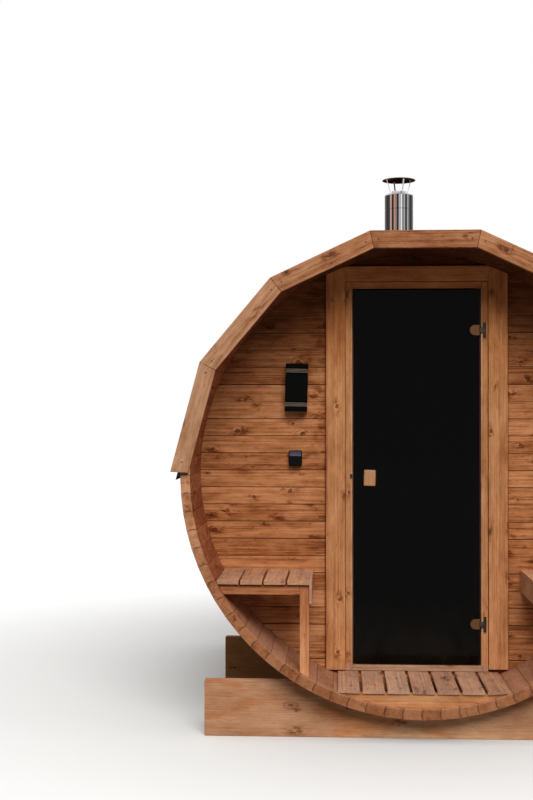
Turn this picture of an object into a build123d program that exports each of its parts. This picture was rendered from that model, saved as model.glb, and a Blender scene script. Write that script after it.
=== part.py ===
from build123d import *
from math import cos, radians, sin, tan
import os

# A garden barrel sauna: staves, hoops, cradles, porch, glass door, roof covering and chimney.
# All sizes are in millimetres. X runs to the right, Y runs from the porch to the rear, Z is up.
# The origin is on the ground, under the middle of the barrel.

os.makedirs("parts", exist_ok=True)

# Fits
fit_gap = 0.3
moving_gap = 6.0

# Barrel
barrel_length = 2500.0
outside_radius = 1100.0
stave_thickness = 45.0
group_names = ["right", "top_right", "top", "top_left", "left", "bottom_left", "bottom", "bottom_right"]
staves_in_group = 10
stave_joint = 0.4
bead_depth = 9.0
bead_steps = 4
barrel_above_ground = 111.0

# Cradles
cradle_length = 2002.0
saddle_depth = 148.0
cradle_thickness = 45.0
cradle_inset = 110.0
cradle_corner_radius = 12.0

# Hoops
hoop_width = 30.0
hoop_thickness = 1.0
hoop_place = 620.0
hoop_split_angle = -20.0
hoop_split_length = 46.0
lug_thickness = 5.0
lug_height = 28.0
tension_bolt_diameter = 10.0
tension_nut_width = 17.0
tension_nut_height = 8.0

# Walls
porch_depth = 443.0
wall_thickness = 45.0
rear_wall_inset = 60.0

# Door frame and casings
door_opening_width = 622.0
door_above_floor = 30.0
door_below_ceiling = 164.0
jamb_width = 34.0
head_height = 32.0
threshold_height = 28.0
frame_stand_out = 13.0
stop_width = 14.0
casing_width = 93.7
casing_thickness = 25.0
head_casing_height = 75.0
casing_foot_gap = 6.0
right_casing_foot_gap = 15.0

# Door leaf
glass_thickness = 8.0
glass_setback = 3.0
hinge_axis_from_opening = 17.0
hinge_from_top = 204.0
hinge_from_bottom = 202.0
knuckle_diameter = 10.0
knuckle_height = 24.0
knuckle_gap = 0.3
hinge_pin_diameter = 6.0
hinge_pin_clearance = 0.05
hinge_leaf_width = 14.0
hinge_leaf_thickness = 3.0
clamp_width = 46.0
clamp_height = 50.0
clamp_corner_radius = 20.0
clamp_thickness = 8.0
rear_clamp_width = 32.0
handle_width = 57.0
handle_height = 77.0
handle_depth = 36.0
handle_edge_radius = 6.0
handle_inset = 49.0
handle_from_bottom = 908.5
catch_height = 18.0
catch_width = 10.0
catch_depth = 12.0
catch_from_opening = 1.0
catch_above_handle = 8.5

# Floors
floor_above_staves = 86.0
floor_slat_width = 99.5
floor_slat_pitch = 112.6
porch_slats_from_middle = 5.0
floor_slat_thickness = 18.0
floor_slat_count = 7
porch_floor_setback = 14.0
bearer_thickness = 40.0
bearer_setback = 8.0
room_bearer_count = 4

# Benches
bench_above_floor = 493.0
bench_inner_edge = 501.0
bench_slat_width = 99.0
bench_slat_pitch = 107.5
bench_slat_thickness = 21.0
bench_slat_count = 4
bench_setback = 15.0
bench_rail_height = 47.0
bench_rail_thickness = 35.0
bench_rail_setback = 12.0
bench_side_height = 107.0
bench_side_thickness = 12.0
bench_leg_width = 43.0
bench_leg_depth = 45.0

# Roof covering and fascia
covering_thickness = 4.0
covering_eave_drop = 20.0
fascia_overhang = 52.0
fascia_centre_drop = 15.0
fascia_from_middle = 12.0  # the fascia hangs a little to the right of the barrel's middle
fascia_tail = 19.0  # how far the lowest boards run past their last mitre line
fascia_width = 80.0
fascia_thickness = 28.0
fascia_board_count = 7
fascia_board_angle = 25.0

# Chimney
chimney_from_rear = 400.0
casing_pipe_radius = 88.0
flue_bore_radius = 43.5
flue_wall = 2.5
pipe_above_barrel = 532.0
pipe_below_ceiling = 60.0
pipe_rim = 5.0
pipe_cone_rise = 10.0
flue_stand_out = 26.0
roof_hole_clearance = 5.0
cap_radius = 102.0
cap_rise = 18.0
cap_thickness = 2.0
cap_above_pipe = 89.0
cap_leg_diameter = 5.0
cap_leg_top_radius = 80.0
cap_leg_count = 4
cap_leg_turn = 19.0
flashing_plate = 330.0
flashing_thickness = 2.0
flashing_foot_radius = 125.0
flashing_rise = 95.0

# Wall lamp and switch
lamp_from_middle = 582.0
lamp_above_axis = 408.0
lamp_width = 108.0
lamp_depth = 70.0
lamp_cap_height = 23.5
lamp_band_height = 21.5
lamp_middle_height = 142.0
lamp_band_inset = 3.0
switch_from_middle = 588.5
switch_above_axis = 64.5
switch_width = 65.0
switch_height = 75.0
switch_depth = 45.0
switch_body_depth = 30.0
switch_lid_height = 67.0
switch_lid_slope = 24.0
switch_lid_foot = 6.0
switch_corner_cut = 5.0

# Places that follow from the sizes above
front_rim = -barrel_length / 2
rear_rim = barrel_length / 2
inside_radius = outside_radius - stave_thickness
axis_height = barrel_above_ground + outside_radius
barrel_bottom = axis_height - inside_radius
ceiling_height = axis_height + inside_radius
stave_count = staves_in_group * len(group_names)
stave_angle = 360.0 / stave_count
half_stave = radians(stave_angle / 2)
stave_corner_radius = outside_radius / cos(half_stave)
panel_radius = inside_radius - fit_gap
saddle_radius = stave_corner_radius + fit_gap / 2
cradle_height = barrel_above_ground + saddle_depth
hoop_radius = outside_radius + fit_gap / 2
covering_radius = (hoop_radius + hoop_thickness) / cos(half_stave) + fit_gap
wall_front = front_rim + porch_depth
wall_back = wall_front + wall_thickness
rear_wall_back = rear_rim - rear_wall_inset
rear_wall_front = rear_wall_back - wall_thickness
floor_top = barrel_bottom + floor_above_staves
floor_underside = floor_top - floor_slat_thickness
bench_top = floor_top + bench_above_floor
bench_underside = bench_top - bench_slat_thickness
door_opening_bottom = floor_top + door_above_floor
door_opening_top = ceiling_height - door_below_ceiling
opening_half = door_opening_width / 2
frame_half = opening_half + jamb_width
frame_top = door_opening_top + head_height
frame_bottom = door_opening_bottom - threshold_height
frame_front = wall_front - frame_stand_out
glass_front = frame_front + glass_setback
glass_back = glass_front + glass_thickness
glass_half = opening_half - moving_gap
chimney_y = rear_rim - chimney_from_rear
hinge_heights = (door_opening_top - hinge_from_top, door_opening_bottom + hinge_from_bottom)
handle_centre_height = door_opening_bottom + handle_from_bottom
catch_centre_height = handle_centre_height + catch_above_handle
roof_top = axis_height + covering_radius + covering_thickness
pipe_top = axis_height + outside_radius + pipe_above_barrel
cap_centre_height = pipe_top + cap_above_pipe
fascia_radius = outside_radius + fascia_overhang
lamp_centre = (-lamp_from_middle, axis_height + lamp_above_axis)
switch_centre = (-switch_from_middle, axis_height + switch_above_axis)


def upright(y):
    """The plane across the barrel at one place along it; pieces extruded from it grow to the front."""
    return Plane.XZ.offset(-y)


def block(x, y, z):
    """A square-edged piece between two bounds along each axis."""
    with Locations(((x[0] + x[1]) / 2, (y[0] + y[1]) / 2, (z[0] + z[1]) / 2)):
        Box(x[1] - x[0], y[1] - y[0], z[1] - z[0])


def fitted_board(x, y, z):
    """A board across the barrel between two bounds along each axis, cut to the barrel's inner round."""
    with BuildSketch(upright(y[1])) as outline:
        with Locations((0, axis_height)):
            Circle(panel_radius)
        with Locations(((x[0] + x[1]) / 2, (z[0] + z[1]) / 2)):
            Rectangle(x[1] - x[0], z[1] - z[0], mode=Mode.INTERSECT)
    extrude(outline.sketch, amount=y[1] - y[0])


def fitted_slats(centre_x, pitch, width, count, y, z):
    """A row of slats that run along the barrel, cut to its inner round at the edges."""
    with BuildSketch(upright(y[1])) as outline:
        with Locations((centre_x, (z[0] + z[1]) / 2)):
            with GridLocations(pitch, 0, count, 1):
                Rectangle(width, z[1] - z[0])
        with Locations((0, axis_height)):
            Circle(panel_radius, mode=Mode.INTERSECT)
    extrude(outline.sketch, amount=y[1] - y[0])


def save(piece, name):
    piece.part.label = name
    export_step(piece.part, f"parts/{name}.step")


# Barrel shell: staves with a bead on one edge and a cove on the other, in eight groups named by their
# place in the round. A stave's section lies in a plane whose X runs outward from the barrel's axis.
group_sweep = (staves_in_group - 1) * stave_angle


def stave_edge(side):
    """The points of one edge, from the inside out: they leave the joint line by the bead's swell."""
    along_joint = Vector(1, side * tan(half_stave))
    across_joint = Vector(-side * sin(half_stave), cos(half_stave))
    points = []
    for step in range(bead_steps + 1):
        share = step / bead_steps
        swell = 4 * bead_depth * share * (1 - share) - side * stave_joint / 2
        points.append(along_joint * (inside_radius + stave_thickness * share) + across_joint * swell)
    return points


stave_section = stave_edge(-1) + stave_edge(1)[::-1]

for group, place in enumerate(group_names):
    first_angle = (group - 0.5) * staves_in_group * stave_angle + stave_angle / 2
    with BuildPart() as staves:
        with BuildSketch(upright(rear_rim)):
            with Locations((0, axis_height)):
                with PolarLocations(0, staves_in_group, first_angle, group_sweep, endpoint=True):
                    Polygon(*stave_section, align=None)
        extrude(amount=barrel_length)
        if place == "top":
            with Locations((0, chimney_y, axis_height + outside_radius)):
                Cylinder(casing_pipe_radius + roof_hole_clearance, 4 * stave_thickness, mode=Mode.SUBTRACT)
    save(staves, f"staves_{place}")

# Hoops: steel bands on the flats of the staves, each closed by two drilled lugs and a bolt
split_half = hoop_split_length / 2
lug_outer = split_half + lug_thickness
bolt_line_radius = hoop_radius + hoop_thickness + lug_height / 2
bolt_half_length = lug_outer + 2 * tension_nut_height
split_direction = Vector(cos(radians(hoop_split_angle)), 0, sin(radians(hoop_split_angle)))
bolt_direction = Vector(-split_direction.Z, 0, split_direction.X)
hoop_places = (-hoop_place, hoop_place)


def bolt_centre(hoop_y):
    """The middle of the bolt that closes the hoop at one place along the barrel."""
    return split_direction * bolt_line_radius + Vector(0, hoop_y, axis_height)


def bolt_rod(hoop_y, radius, half_length, mode=Mode.ADD):
    """A round rod along one hoop's bolt line."""
    foot = bolt_centre(hoop_y) - bolt_direction * half_length
    with BuildSketch(Plane(foot, z_dir=bolt_direction)) as section:
        Circle(radius)
    extrude(section.sketch, amount=2 * half_length, mode=mode)


with BuildPart() as hoops:
    for hoop_y in hoop_places:
        with BuildSketch(upright(hoop_y + hoop_width / 2)):
            with Locations((0, axis_height)):
                RegularPolygon(hoop_radius + hoop_thickness, stave_count, major_radius=False)
                RegularPolygon(hoop_radius, stave_count, major_radius=False, mode=Mode.SUBTRACT)
                with PolarLocations(hoop_radius, 1, hoop_split_angle):
                    Rectangle(lug_height, hoop_split_length, mode=Mode.SUBTRACT)
                with PolarLocations(hoop_radius + (hoop_thickness + lug_height) / 2, 1, hoop_split_angle):
                    with Locations((0, split_half + lug_thickness / 2), (0, -split_half - lug_thickness / 2)):
                        Rectangle(lug_height + hoop_thickness, lug_thickness)
        extrude(amount=hoop_width)
        bolt_rod(hoop_y, tension_bolt_diameter / 2 + fit_gap, bolt_half_length, mode=Mode.SUBTRACT)
save(hoops, "hoops")

with BuildPart() as hoop_bolts:
    for hoop_y in hoop_places:
        bolt_rod(hoop_y, tension_bolt_diameter / 2, bolt_half_length)
        for side in (-1, 1):
            nut_foot = bolt_centre(hoop_y) + bolt_direction * side * (lug_outer + fit_gap)
            with BuildSketch(Plane(nut_foot, z_dir=bolt_direction * side)) as nut:
                RegularPolygon(tension_nut_width / 2, 6, major_radius=False)
            extrude(nut.sketch, amount=tension_nut_height)
save(hoop_bolts, "hoop_bolts")

# Cradles: planks with a saddle cut that follows the staves
cradle_fronts = {
    "cradle_front": front_rim + cradle_inset,
    "cradle_middle": -cradle_thickness / 2,
    "cradle_rear": rear_rim - cradle_inset - cradle_thickness,
}
for name, cradle_front in cradle_fronts.items():
    with BuildPart() as cradle:
        with BuildSketch(upright(cradle_front + cradle_thickness)) as plank:
            with Locations((0, cradle_height / 2)):
                Rectangle(cradle_length, cradle_height)
            fillet(plank.vertices().group_by(Axis.Y)[-1], cradle_corner_radius)
            with Locations((0, axis_height)):
                Circle(saddle_radius, mode=Mode.SUBTRACT)
        extrude(amount=cradle_thickness)
    save(cradle, name)

# Walls: the front wall is split round the doorway
wall_y = (wall_front, wall_back)
wall_pieces = {
    "front_wall_left": ((-inside_radius, -frame_half - fit_gap), (barrel_bottom, ceiling_height), wall_y),
    "front_wall_right": ((frame_half + fit_gap, inside_radius), (barrel_bottom, ceiling_height), wall_y),
    "front_wall_over_door": ((-frame_half, frame_half), (frame_top + fit_gap, ceiling_height), wall_y),
    "front_wall_under_door": ((-frame_half, frame_half), (barrel_bottom, frame_bottom - fit_gap), wall_y),
    "rear_wall": (
        (-inside_radius, inside_radius),
        (barrel_bottom, ceiling_height),
        (rear_wall_front, rear_wall_back),
    ),
}
for name, (x, z, y) in wall_pieces.items():
    with BuildPart() as wall:
        fitted_board(x, y, z)
    save(wall, name)

# Casings round the doorway, their tops cut to the barrel's round
casing_y = (wall_front - casing_thickness, wall_front)
casing_inner = frame_half + fit_gap
casing_outer = casing_inner + casing_width
casing_bottom = floor_top + casing_foot_gap

with BuildPart() as casing_left:
    fitted_board((-casing_outer, -casing_inner), casing_y, (casing_bottom, ceiling_height))
save(casing_left, "casing_left")

with BuildPart() as casing_right:
    fitted_board((casing_inner, casing_outer), casing_y, (floor_top + right_casing_foot_gap, ceiling_height))
save(casing_right, "casing_right")

with BuildPart() as casing_head:
    head_casing_bottom = frame_top + fit_gap
    head_casing_z = (head_casing_bottom, head_casing_bottom + head_casing_height)
    fitted_board((-frame_half, frame_half), casing_y, head_casing_z)
save(casing_head, "casing_head")

# Door frame: jambs and stops, head, threshold
frame_y = (frame_front, wall_back)
stop_y = (glass_back + moving_gap, wall_back)

with BuildPart() as door_jambs:
    for side in (-1, 1):
        jamb_x = sorted((side * opening_half, side * frame_half))
        block(jamb_x, frame_y, (frame_bottom, frame_top))
        stop_x = sorted((side * (opening_half - stop_width), side * (opening_half - fit_gap)))
        block(stop_x, stop_y, (door_opening_bottom, door_opening_top))
save(door_jambs, "door_jambs")

with BuildPart() as door_head:
    head_half = opening_half - fit_gap
    block((-head_half, head_half), frame_y, (door_opening_top, frame_top))
save(door_head, "door_head")

with BuildPart() as door_threshold:
    block((-head_half, head_half), frame_y, (frame_bottom, door_opening_bottom))
save(door_threshold, "door_threshold")

# Door leaf
leaf_z = (door_opening_bottom + moving_gap, door_opening_top - moving_gap)

with BuildPart() as door_glass:
    block((-glass_half, glass_half), (glass_front, glass_back), leaf_z)
save(door_glass, "door_glass")

handle_left = -glass_half + handle_inset
handle_x = (handle_left, handle_left + handle_width)
handle_z = (handle_centre_height - handle_height / 2, handle_centre_height + handle_height / 2)

with BuildPart() as door_handle:
    block(handle_x, (glass_front - handle_depth, glass_front), handle_z)
    block(handle_x, (glass_back, glass_back + handle_depth), handle_z)
    handle_edges = door_handle.faces().filter_by(Axis.Y)
    fillet((handle_edges.sort_by(Axis.Y)[0] + handle_edges.sort_by(Axis.Y)[-1]).edges(), handle_edge_radius)
save(door_handle, "door_handle")

# Hinges: each turns on a pin in front of the right jamb
hinge_leaf_front = frame_front - hinge_leaf_thickness
hinge_x = opening_half + hinge_axis_from_opening
hinge_y = hinge_leaf_front - knuckle_diameter / 2
knuckle_step = knuckle_height + knuckle_gap
clamp_right = glass_half
clamp_left = clamp_right - clamp_width
arm_y = (hinge_y - knuckle_diameter / 2, glass_front - clamp_thickness)

with BuildPart() as hinge_frame_parts:
    for height in hinge_heights:
        leaf_half = 1.5 * knuckle_height + knuckle_gap
        leaf_x = (hinge_x - hinge_leaf_width / 2, hinge_x + hinge_leaf_width / 2)
        block(leaf_x, (hinge_leaf_front, frame_front), (height - leaf_half, height + leaf_half))
        for side in (-1, 1):
            with Locations((hinge_x, hinge_y, height + side * knuckle_step)):
                Cylinder(knuckle_diameter / 2, knuckle_height)
            with Locations((hinge_x, hinge_y + knuckle_diameter / 4, height + side * knuckle_step)):
                Box(knuckle_diameter / 2, knuckle_diameter / 2, knuckle_height)
        with Locations((hinge_x, hinge_y, height)):
            Cylinder(hinge_pin_diameter / 2, 2 * leaf_half)
save(hinge_frame_parts, "hinge_frame_parts")

with BuildPart() as hinge_door_parts:
    for height in hinge_heights:
        with BuildSketch(upright(glass_front)) as clamp:
            with Locations(((clamp_left + clamp_right) / 2, height)):
                Rectangle(clamp_width, clamp_height)
            fillet(clamp.vertices().group_by(Axis.X)[0], clamp_corner_radius)
        extrude(clamp.sketch, amount=clamp_thickness)
        block(
            (clamp_left, clamp_left + rear_clamp_width),
            (glass_back, glass_back + moving_gap),
            (height - clamp_height / 2, height + clamp_height / 2),
        )
        arm_z = (height - knuckle_height / 2, height + knuckle_height / 2)
        block((clamp_right - clamp_width / 2, hinge_x), arm_y, arm_z)
        with Locations((hinge_x, hinge_y, height)):
            Cylinder(knuckle_diameter / 2, knuckle_height)
            Cylinder(hinge_pin_diameter / 2 + hinge_pin_clearance, knuckle_height, mode=Mode.SUBTRACT)
save(hinge_door_parts, "hinge_door_parts")

with BuildPart() as door_catch:
    catch_right = -opening_half - catch_from_opening
    catch_x = (catch_right - catch_width, catch_right)
    catch_z = (catch_centre_height - catch_height / 2, catch_centre_height + catch_height / 2)
    block(catch_x, (frame_front - catch_depth, frame_front), catch_z)
save(door_catch, "door_catch")

# Floors: slats that run front to back on bearers that fill the barrel's belly
floor_z = (floor_underside, floor_top)
bearer_z = (barrel_bottom, floor_underside)
bearer_half = inside_radius
porch_floor_y = (front_rim + porch_floor_setback, wall_front - fit_gap)
room_floor_y = (wall_back + fit_gap, rear_wall_front - fit_gap)

with BuildPart() as porch_floor_slats:
    porch_row = (porch_slats_from_middle, floor_slat_pitch, floor_slat_width, floor_slat_count)
    fitted_slats(*porch_row, porch_floor_y, floor_z)
save(porch_floor_slats, "porch_floor_slats")

with BuildPart() as porch_floor_bearers:
    front_bearer = porch_floor_y[0] + bearer_setback
    back_bearer = wall_front - fit_gap - bearer_thickness
    for bearer_front in (front_bearer, back_bearer):
        fitted_board((-bearer_half, bearer_half), (bearer_front, bearer_front + bearer_thickness), bearer_z)
save(porch_floor_bearers, "porch_floor_bearers")

with BuildPart() as room_floor_slats:
    fitted_slats(0, floor_slat_pitch, floor_slat_width, floor_slat_count, room_floor_y, floor_z)
save(room_floor_slats, "room_floor_slats")

with BuildPart() as room_floor_bearers:
    room_bearer_span = room_floor_y[1] - room_floor_y[0] - bearer_thickness
    for index in range(room_bearer_count):
        bearer_front = room_floor_y[0] + room_bearer_span * index / (room_bearer_count - 1)
        fitted_board((-bearer_half, bearer_half), (bearer_front, bearer_front + bearer_thickness), bearer_z)
save(room_floor_bearers, "room_floor_bearers")

# Benches: one on each side of the porch, mirror images of each other
bench_y = (front_rim + bench_setback, wall_front - fit_gap)
bench_row_inner = bench_inner_edge + bench_side_thickness + fit_gap
bench_row_width = (bench_slat_count - 1) * bench_slat_pitch + bench_slat_width
bench_row_centre = bench_row_inner + bench_row_width / 2
rail_front = bench_y[0] + bench_rail_setback
leg_outer = bench_row_inner + bench_leg_width

for side, place in ((-1, "left"), (1, "right")):
    with BuildPart() as bench_slats:
        fitted_slats(
            side * bench_row_centre,
            bench_slat_pitch,
            bench_slat_width,
            bench_slat_count,
            bench_y,
            (bench_underside, bench_top),
        )
    save(bench_slats, f"bench_{place}_slats")

    with BuildPart() as bench_frame:
        rail_z = (bench_underside - bench_rail_height, bench_underside)
        rail_x = sorted((side * (leg_outer + fit_gap), side * inside_radius))
        fitted_board(rail_x, (rail_front, rail_front + bench_rail_thickness), rail_z)
        ledger_x = sorted((side * bench_row_inner, side * inside_radius))
        fitted_board(ledger_x, (bench_y[1] - bench_rail_thickness, bench_y[1]), rail_z)
        leg_x = sorted((side * bench_row_inner, side * leg_outer))
        fitted_board(leg_x, (rail_front, rail_front + bench_leg_depth), (barrel_bottom, bench_underside))
        board_x = sorted((side * bench_inner_edge, side * (bench_row_inner - fit_gap)))
        fitted_board(board_x, bench_y, (bench_top - bench_side_height, bench_top))
    save(bench_frame, f"bench_{place}_frame")

# Roof covering on the upper half, with a hole for the chimney
covering_outer = covering_radius + covering_thickness
eave_height = axis_height - covering_eave_drop

with BuildPart() as roof_covering:
    with BuildSketch(upright(rear_rim)):
        with Locations((0, axis_height)):
            Circle(covering_outer)
            Circle(covering_radius, mode=Mode.SUBTRACT)
        with Locations((0, eave_height - covering_outer / 2)):
            Rectangle(3 * covering_outer, covering_outer, mode=Mode.SUBTRACT)
        with Locations((0, eave_height - covering_outer)):
            Rectangle(3 * covering_outer, covering_outer, mode=Mode.SUBTRACT)
    extrude(amount=barrel_length)
    with Locations((0, chimney_y, axis_height + outside_radius)):
        Cylinder(casing_pipe_radius + roof_hole_clearance, 4 * stave_thickness, mode=Mode.SUBTRACT)
save(roof_covering, "roof_covering")

# Fascia: mitred boards on the ends of the staves, front and rear
half_board = radians(fascia_board_angle / 2)
fascia_outer = fascia_radius * cos(half_board)
fascia_inner = fascia_outer - fascia_width
fascia_sweep = (fascia_board_count - 1) * fascia_board_angle
first_board = 90 - fascia_sweep / 2

for name, fascia_back in (("fascia_front", front_rim), ("fascia_rear", rear_rim + fascia_thickness)):
    with BuildPart() as fascia:
        with BuildSketch(upright(fascia_back)):
            with Locations((fascia_from_middle, axis_height - fascia_centre_drop)):
                for index in range(fascia_board_count):
                    right_tail = fascia_tail if index == 0 else -fit_gap / 2
                    left_tail = fascia_tail if index == fascia_board_count - 1 else -fit_gap / 2
                    with PolarLocations(0, 1, first_board + index * fascia_board_angle):
                        Polygon(
                            (fascia_inner, -fascia_inner * tan(half_board) - right_tail),
                            (fascia_outer, -fascia_outer * tan(half_board) - right_tail),
                            (fascia_outer, fascia_outer * tan(half_board) + left_tail),
                            (fascia_inner, fascia_inner * tan(half_board) + left_tail),
                            align=None,
                        )
        extrude(amount=fascia_thickness)
    save(fascia, name)

# Chimney: a double-wall pipe through the roof, a rain cap on four splayed legs, and a collar
chimney_plane = Plane(origin=(0, chimney_y, 0), x_dir=(1, 0, 0), z_dir=(0, -1, 0))
flue_outer = flue_bore_radius + flue_wall
pipe_bottom = ceiling_height - pipe_below_ceiling

with BuildPart() as chimney_pipe:
    with BuildSketch(chimney_plane) as pipe_profile:
        with BuildLine():
            Polyline(
                (casing_pipe_radius - pipe_rim, pipe_top),
                (flue_outer, pipe_top + pipe_cone_rise),
                (flue_outer, pipe_top + flue_stand_out),
                (flue_bore_radius, pipe_top + flue_stand_out),
                (flue_bore_radius, pipe_bottom),
                (casing_pipe_radius, pipe_bottom),
                (casing_pipe_radius, pipe_top - pipe_rim),
                close=True,
            )
        make_face()
    revolve(axis=Axis((0, chimney_y, 0), (0, 0, 1)))
save(chimney_pipe, "chimney_pipe")

with BuildPart() as chimney_cap:
    with BuildSketch(chimney_plane):
        with BuildLine():
            Polyline(
                (0, cap_centre_height + cap_rise),
                (cap_radius, cap_centre_height),
                (cap_radius, cap_centre_height - cap_thickness),
                (0, cap_centre_height + cap_rise - cap_thickness),
                close=True,
            )
        make_face()
    revolve(axis=Axis((0, chimney_y, 0), (0, 0, 1)))
save(chimney_cap, "chimney_cap")

leg_foot_radius = flue_outer + cap_leg_diameter / 2 + fit_gap
leg_foot_height = pipe_top + flue_stand_out / 2
cap_slope = cap_rise / cap_radius
leg_head_height = cap_centre_height - cap_thickness + (cap_radius - cap_leg_top_radius) * cap_slope

with BuildPart() as chimney_cap_legs:
    for index in range(cap_leg_count):
        turn = radians(cap_leg_turn + 360 * index / cap_leg_count)
        outward = Vector(cos(turn), sin(turn), 0)
        foot = outward * leg_foot_radius + Vector(0, chimney_y, leg_foot_height)
        head = outward * cap_leg_top_radius + Vector(0, chimney_y, leg_head_height)
        leg_line = head - foot
        with BuildSketch(Plane(foot, z_dir=leg_line)) as leg_section:
            Circle(cap_leg_diameter / 2)
        extrude(leg_section.sketch, amount=leg_line.length - cap_leg_diameter / 4)
save(chimney_cap_legs, "chimney_cap_legs")

collar_inner = casing_pipe_radius + fit_gap
flashing_radius = covering_outer + fit_gap

with BuildPart() as roof_flashing:
    with BuildSketch(chimney_plane):
        with BuildLine():
            Polyline(
                (flashing_foot_radius, ceiling_height),
                (flashing_foot_radius, roof_top),
                (collar_inner + flashing_thickness, roof_top + flashing_rise),
                (collar_inner, roof_top + flashing_rise),
                (flashing_foot_radius - 2 * flashing_thickness, ceiling_height),
                close=True,
            )
        make_face()
    revolve(axis=Axis((0, chimney_y, 0), (0, 0, 1)))
    with BuildSketch(upright(chimney_y + flashing_plate / 2)) as plate:
        with Locations((0, axis_height)):
            Circle(flashing_radius + flashing_thickness)
            Circle(flashing_radius, mode=Mode.SUBTRACT)
        with Locations((0, roof_top)):
            Rectangle(flashing_plate, flashing_plate, mode=Mode.INTERSECT)
    extrude(plate.sketch, amount=flashing_plate)
    with BuildSketch(upright(chimney_y + flashing_plate)) as barrel_round:
        with Locations((0, axis_height)):
            Circle(flashing_radius)
    extrude(barrel_round.sketch, amount=2 * flashing_plate, mode=Mode.SUBTRACT)
    with Locations((0, chimney_y, roof_top)):
        Cylinder(flashing_foot_radius - 4 * flashing_thickness, 4 * flashing_thickness, mode=Mode.SUBTRACT)
save(roof_flashing, "roof_flashing")

# Wall lamp: black body in three lengths, with a pale band between each two
lamp_y = (wall_front - lamp_depth, wall_front)
lamp_x = (lamp_centre[0] - lamp_width / 2, lamp_centre[0] + lamp_width / 2)
band_x = (lamp_x[0] + lamp_band_inset, lamp_x[1] - lamp_band_inset)
middle_z = (lamp_centre[1] - lamp_middle_height / 2, lamp_centre[1] + lamp_middle_height / 2)
cap_foot = middle_z[1] + lamp_band_height
base_top = middle_z[0] - lamp_band_height

with BuildPart() as wall_lamp:
    block(lamp_x, lamp_y, middle_z)
    block(lamp_x, lamp_y, (cap_foot, cap_foot + lamp_cap_height))
    block(lamp_x, lamp_y, (base_top - lamp_cap_height, base_top))
save(wall_lamp, "wall_lamp")

with BuildPart() as lamp_bands:
    band_y = (lamp_y[0] + lamp_band_inset, lamp_y[1])
    block(band_x, band_y, (middle_z[1], cap_foot))
    block(band_x, band_y, (base_top, middle_z[0]))
save(lamp_bands, "lamp_bands")

switch_x = (switch_centre[0] - switch_width / 2, switch_centre[0] + switch_width / 2)
switch_z = (switch_centre[1] - switch_height / 2, switch_centre[1] + switch_height / 2)
lid_back = wall_front - switch_body_depth
lid_front = wall_front - switch_depth
lid_top = switch_z[0] + switch_lid_foot + switch_lid_height

with BuildPart() as switch_box:
    block(switch_x, (lid_back, wall_front), switch_z)
    chamfer(switch_box.edges().filter_by(Axis.Y), switch_corner_cut)
    with BuildSketch(Plane.YZ.offset(switch_x[0] + switch_corner_cut)) as lid:
        Polygon(
            (lid_back, switch_z[0] + switch_lid_foot),
            (lid_front, switch_z[0] + switch_lid_foot),
            (lid_front, lid_top - switch_lid_slope),
            (lid_back, lid_top),
            align=None,
        )
    extrude(lid.sketch, amount=switch_width - 2 * switch_corner_cut)
save(switch_box, "switch_box")
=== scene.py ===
# %% [markdown]
# # A barrel sauna, board by board
# A barrel sauna is a cooper's barrel on its side, closed by two board walls. The engineer's solids
# already fix every size. This lesson dresses them: each stave, board, slat, screw and shingle gets its
# own shape, and each finish is drawn by nodes. First the solids come in.

# %% Load the solids
import bmesh
import bpy
import random
from math import atan2, cos, pi, radians, sin, sqrt, tan
from mathutils import Matrix, Vector


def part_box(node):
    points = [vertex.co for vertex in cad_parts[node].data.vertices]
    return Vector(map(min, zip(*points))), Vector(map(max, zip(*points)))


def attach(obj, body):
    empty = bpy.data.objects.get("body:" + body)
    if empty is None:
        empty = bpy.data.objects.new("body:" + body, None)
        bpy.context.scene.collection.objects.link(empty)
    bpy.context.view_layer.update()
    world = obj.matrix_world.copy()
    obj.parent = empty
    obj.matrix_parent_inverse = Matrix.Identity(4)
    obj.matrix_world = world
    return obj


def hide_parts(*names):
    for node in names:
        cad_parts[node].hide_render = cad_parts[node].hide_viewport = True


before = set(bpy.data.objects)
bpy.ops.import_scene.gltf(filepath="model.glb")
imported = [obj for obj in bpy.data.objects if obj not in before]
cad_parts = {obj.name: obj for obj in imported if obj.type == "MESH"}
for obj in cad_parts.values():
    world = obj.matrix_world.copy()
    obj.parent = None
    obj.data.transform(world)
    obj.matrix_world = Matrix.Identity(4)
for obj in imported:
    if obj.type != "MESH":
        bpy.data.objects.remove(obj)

mm = 0.001
scene = bpy.context.scene
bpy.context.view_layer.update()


def add_object(name, data):
    thing = bpy.data.objects.new(name, data)
    scene.collection.objects.link(thing)
    return thing


# %% [markdown]
# ## The camera
# The photograph was taken standing, a little left of the door and about seven metres away. The place and
# the lens below were fitted to points that show well, such as the corners of the door and the fascia.

# %% Set the camera
camera = add_object("camera", bpy.data.cameras.new("camera"))
camera.location = (-0.3943, -6.9675, 1.5039)
camera.rotation_euler = (pi / 2 + 0.00896, 0, 0.0545)
camera.data.lens, camera.data.sensor_width = 56.66, 36
scene.camera = camera
scene.view_settings.view_transform = "Standard"

# %% [markdown]
# ## Sizes that many pieces share
# Everything is measured from the barrel: its axis, its two radii and its rims. The wall, the door frame
# and the doorway stand in it, and neighbours are kept a small fit apart.

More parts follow.
